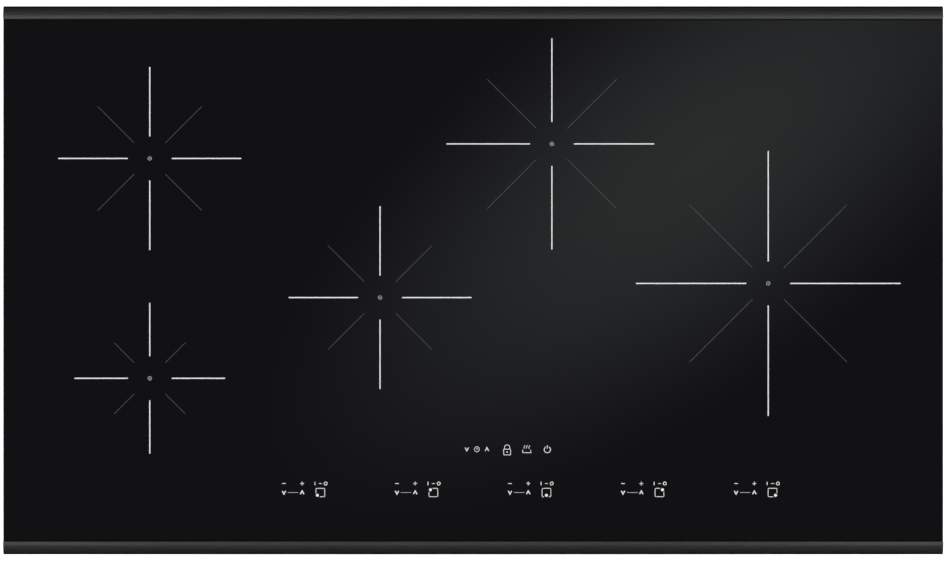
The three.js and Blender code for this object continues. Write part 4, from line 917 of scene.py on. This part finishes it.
# A choke: a ring of ferrite with rounded edges, wound with round wire. Each turn goes round a
# squarish loop about the ring's section, while it moves on round the ring.
choke_core = turned([(0.0110, 0.0020), (0.0150, 0.0020), (0.0158, 0.0028), (0.0158, 0.0152),
                     (0.0150, 0.0160), (0.0110, 0.0160), (0.0102, 0.0152), (0.0102, 0.0028)], 32, closed=True)
WINDS, WIRE_RADIUS, RING_RADIUS, RING_MIDDLE = 22, 0.0007, 0.0130, 0.0090
wind = np.linspace(0, 2 * np.pi, WINDS * 24, endpoint=False)
coil = wind * WINDS
corner = 1 / (np.cos(coil) ** 4 + np.sin(coil) ** 4) ** 0.25
r = RING_RADIUS + 0.0043 * np.cos(coil) * corner
path = np.column_stack([r * np.cos(wind), r * np.sin(wind), RING_MIDDLE + 0.0082 * np.sin(coil) * corner])
ahead = np.roll(path, -1, 0) - np.roll(path, 1, 0)
ahead /= np.linalg.norm(ahead, axis=1, keepdims=True)
outward = np.column_stack([np.cos(wind) * np.cos(coil), np.sin(wind) * np.cos(coil), np.sin(coil)])
across = np.cross(ahead, outward)
across /= np.linalg.norm(across, axis=1, keepdims=True)
out = np.cross(across, ahead)
bend = (np.arange(6) * np.pi / 3)[None, :, None]
hoops = path[:, None] + WIRE_RADIUS * (across[:, None] * np.cos(bend) + out[:, None] * np.sin(bend))
choke_wire = skin(hoops[:, ::-1], closed=True)

bottom, top = 0.0090, 0.0106  # faces of the boards
for side in ("left", "centre", "right"):
    low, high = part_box("power_board_" + side)
    board_x, board_y = middle_of("power_board_" + side)
    plate = rounded_block((low.x, low.y, bottom), (high.x, high.y, top), 0.0003)
    piece("board_plate_" + side, plate, circuit_board, stands_for=["power_board_" + side])
    foot = turned([(0.0040, low.z), (0.0040, bottom), (0.0026, bottom), (0.0026, top + 0.0003),
                   (0.0020, top + 0.0015)], 16)
    feet = [stood(foot, board_x + sx * 0.100, board_y + sy * 0.105) for sx in (-1, 1) for sy in (-1, 1)]
    piece("board_standoffs_" + side, joined(feet), white_nylon)
    can = turned([(0.0132, 0), (0.0140, 0.0008), (0.0140, 0.0030), (0.0134, 0.0036), (0.0134, 0.0042),
                  (0.0140, 0.0048), (0.0140, 0.0352), (0.0136, 0.0358), (0.0112, 0.0359)], 32)
    caps = [(board_x + sx * 0.062, board_y - 0.030 + row * 0.034, top)
            for sx in (-1, 1) for row in (-1, 0, 1)]
    piece("bus_capacitors_" + side, joined([stood(can, *at) for at in caps]), shrink_film)
    lid = turned([(0.0110, 0.0357), (0.0110, 0.0361), (0.0098, 0.0363), (0.0092, 0.0360)], 32)
    piece("capacitor_lids_" + side, joined([stood(lid, *at) for at in caps]), bare_aluminium)
    blocks, plugs, cores, wires = [], [], [], []
    for sx in (-1, 1):
        near, far = sorted((board_x + sx * 0.082, board_x + sx * 0.102))
        for row in (-1, 0, 1):
            front = board_y - 0.045 + row * 0.030
            blocks.append(rounded_block((near, front, top), (far, front + 0.020, top + 0.024), 0.0012))
        near, far = sorted((board_x + sx * 0.094, board_x + sx * 0.106))
        plugs.append(rounded_block((near, board_y + 0.030, top), (far, board_y + 0.088, top + 0.012), 0.0006))
        centre = (board_x + sx * 0.070, board_y + 0.060, top)
        cores.append(stood(choke_core, *centre))
        wires.append(stood(choke_wire, *centre))
    piece("film_blocks_" + side, joined(blocks), film_block)
    piece("coil_plugs_" + side, joined(plugs), white_nylon)
    piece("choke_cores_" + side, joined(cores), ferrite)
    piece("choke_windings_" + side, joined(wires), magnet_wire)


# ---- Blowers ----
# A scroll housing moulded in black polypropylene draws air through the floor and blows it
# along the heat sink. The wheel is one moulding: a disc, a ring and curved blades.

# Black polypropylene: dull sheen, fine spark-eroded texture.
black_plastic = grained("moulded_black_polypropylene", "17171a", "27272b", 1500.0, 2.0,
                        relief=(0.25, 0.0001), Roughness=0.48, IOR=1.49)
finish_nodes(black_plastic, "blower_housing_left", "blower_housing_right")

BLADES, BLADE_HALF = 36, 0.00045  # how many, and half their thickness
for side, hand in (("left", -1), ("right", 1)):
    low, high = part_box("blower_rotor_" + side)
    ring_top = low.z + 0.0282
    hub = turned([(0.0350, 0), (0.0360, 0.0006), (0.0360, 0.0014), (0.0350, 0.0020), (0.0090, 0.0024),
                  (0.0062, 0.0034), (0.0060, high.z - 0.0112 - low.z)], 48)
    stub = turned([(0.0015, high.z - 0.0114), (0.0015, high.z - 0.0002), (0.0012, high.z)], 16)
    span = np.linspace(0, 1, 6)
    radius = 0.0338 + 0.0076 * span
    lead = hand * np.radians(-9 + 16 * span ** 1.6)
    outline_r = np.concatenate([radius, radius[::-1]])
    outline_t = np.concatenate([lead - BLADE_HALF / radius, (lead + BLADE_HALF / radius)[::-1]])
    blades = []
    for angle in np.arange(BLADES) * 2 * np.pi / BLADES:
        flat = np.column_stack([outline_r * np.cos(outline_t + angle), outline_r * np.sin(outline_t + angle)])
        blades.append(skin(stacked([flat, flat], [low.z + 0.0004, ring_top + 0.0004])))
    hoop = turned([(0.0400, 0), (0.0418, 0), (0.0420, 0.0004), (0.0420, 0.0016), (0.0418, 0.0020),
                   (0.0400, 0.0020)], 64, closed=True)
    wheel = joined([stood(hub, 0, 0, low.z), stub, stood(hoop, 0, 0, ring_top)] + blades)
    wheel = stood(wheel, *middle_of("blower_rotor_" + side))
    piece("blower_wheel_fine_" + side, wheel, black_plastic, "blower_wheel_" + side,
          stands_for=["blower_rotor_" + side])


# ---- Controls under the glass ----
# A white tray holds the touch board. Sprung foil pads press up against the glass under each
# printed key, and a ribbon cable runs down to the middle board.

touch_low, touch_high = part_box("control_board")
plate_top = touch_low.z + 0.0016
plate = rounded_block(touch_low, (touch_high.x, touch_high.y, plate_top), 0.0003)
piece("touch_board_plate", plate, circuit_board, stands_for=["control_board"])
pad_x = np.concatenate([(GROUP_X[:, None] + [0, UP_STEP, PLAN_STEP]).ravel(), UPPER_X])
pad_y = np.concatenate([np.full(3 * len(GROUP_X), KEY_ROW), np.full(len(UPPER_X), UPPER_ROW)])
foot = turned([(0.0032, plate_top), (0.0032, plate_top + 0.0006), (0.0018, plate_top + 0.0010),
               (0.0018, touch_high.z - 0.0014), (0.0056, touch_high.z - 0.0008),
               (0.0060, touch_high.z - 0.0004), (0.0060, touch_high.z)], 20)

# Tinned spring bronze: pale, bright, with a fine matt bloom from the dipping.
tinned_bronze = grained("tinned_spring_bronze", "a5a39c", "cac8c0", 950.0, 3.0,
                        Metallic=1.0, Roughness=0.36)
piece("touch_pads", joined([stood(foot, *at) for at in zip(pad_x, pad_y)]), tinned_bronze)
chip = rounded_block((-0.0055, -0.0055, plate_top), (0.0055, 0.0055, plate_top + 0.0016), 0.0003)
chips = [stood(chip, x, (KEY_ROW + UPPER_ROW) / 2) for x in (-0.110, -0.030, 0.130, 0.220)]
piece("touch_chips", joined(chips), black_plastic)

ribbon_low, ribbon_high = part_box("control_cable")
HALF_THICK, CORE_PITCH, CABLE_BEND = 0.0006, 0.00127, 0.0036
level, near_y, far_y = ribbon_high.z - HALF_THICK, ribbon_low.y, ribbon_high.y - HALF_THICK
curve = np.linspace(0, np.pi / 2, 9)[1:]
path_y = np.concatenate([np.linspace(near_y, far_y - CABLE_BEND, 6),
                         far_y - CABLE_BEND + CABLE_BEND * np.sin(curve), np.full(12, far_y)])
path_z = np.concatenate([np.full(6, level), level - CABLE_BEND + CABLE_BEND * np.cos(curve),
                         np.linspace(level - CABLE_BEND, ribbon_low.z, 13)[1:]])
path = np.column_stack([path_y, path_z])
ahead = np.gradient(path, axis=0)
ahead /= np.linalg.norm(ahead, axis=1, keepdims=True)
out = np.column_stack([-ahead[:, 1], ahead[:, 0]])
across = np.linspace(ribbon_low.x, ribbon_high.x, 61)
swell = 0.00035 + 0.00022 * np.abs(np.cos(np.pi * (across - ribbon_low.x) / CORE_PITCH))
section_x = np.concatenate([across, across[::-1]])
section_n = np.concatenate([-swell, swell[::-1]])
ribbon_rings = np.stack([np.broadcast_to(section_x, (len(path), len(section_x))),
                         path[:, :1] + out[:, :1] * section_n, path[:, 1:] + out[:, 1:] * section_n], -1)

# Ribbon cable: grey PVC over sixteen cores 1.27 mm apart, half gloss, faintly dusty.
grey_pvc = grained("grey_pvc_ribbon", "979b9f", "adb1b5", 500.0, 2.0, Roughness=0.42, IOR=1.53)
piece("ribbon_cable", skin(ribbon_rings[:, ::-1]), grey_pvc, stands_for=["control_cable"])


# ---- Worktop clamps ----
# A folded bracket is riveted to each end of the box. A wing screw turns up through it and
# presses a nylon foot against the underside of the worktop.

THREAD_PITCH, THREAD_START = 0.00127, 0.0118  # the thread starts this far above the wings' foot
BRACKET_OUT = 0.0023  # the bracket's outer face, from the box's
for side, hand in (("left", -1), ("right", 1)):
    wall = box_high.x + BRACKET_OUT
    rivet = turned([(0.0034, 0), (0.0033, 0.0006), (0.0026, 0.0012), (0.0013, 0.0015), (0.0013, 0.0010)], 20)
    rivets = [facing(rivet, (hand * wall, y, z), (hand, 0, 0))
              for y in (-0.018, 0.018) for z in (0.047, 0.066)]
    piece("clamp_rivets_" + side, joined(rivets), bare_aluminium)

    low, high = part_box("clamp_screw_" + side)
    x = middle_of("clamp_screw_" + side)[0]
    steps, around = int((high.z - low.z - 0.012) / THREAD_PITCH * 8), 24
    z = np.linspace(low.z + THREAD_START, high.z, steps)
    turn = np.arange(around) * 2 * np.pi / around
    climb = (z[:, None] / THREAD_PITCH - turn[None, :] / (2 * np.pi)) % 1
    ridge = 1 - np.abs(2 * climb - 1)
    ends = np.clip(np.minimum(z - z[0], z[-1] - z) / 0.0012, 0, 1)[:, None]
    r = 0.0025 + 0.0006 * ridge * ends
    shank = np.stack([r * np.cos(turn), r * np.sin(turn), np.broadcast_to(z[:, None], r.shape)], -1)
    knob = turned([(0.0060, 0), (0.0069, 0.0008), (0.0070, 0.0016), (0.0066, 0.0090), (0.0060, 0.0110),
                   (0.0046, 0.0118), (0.0032, 0.0120)], 32)
    wing_levels = np.linspace(0, 1, 9)
    wing_reach = 0.0170 - 0.0045 * (1 - np.sin(np.pi * wing_levels)) ** 2
    wing_half = 0.0020 - 0.0008 * np.abs(2 * wing_levels - 1) ** 3
    wings = skin(stacked([rounded_outline(a, b, b * 0.98, 6) for a, b in zip(wing_reach, wing_half)],
                         low.z + 0.0002 + 0.0116 * wing_levels))
    screw = joined([skin(shank), stood(knob, 0, 0, low.z), wings])
    piece("wing_screw_" + side, stood(screw, x, 0), screw_steel, "screw_" + side,
          stands_for=["clamp_screw_" + side])

    foot_low, foot_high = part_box("clamp_foot_" + side)
    tall = foot_high.z - foot_low.z
    pad = turned([(0.0035, 0), (0.0095, 0), (0.0102, 0.0006), (0.0110, 0.0022), (0.0110, 0.0036),
                  (0.0107, tall), (0.0012, tall), (0.0010, tall - 0.0004), (0.0010, 0.0025),
                  (0.0035, 0.0025)], closed=True)
    piece("nylon_foot_" + side, stood(pad, x, 0, foot_low.z), white_nylon, "foot_" + side,
          stands_for=["clamp_foot_" + side])
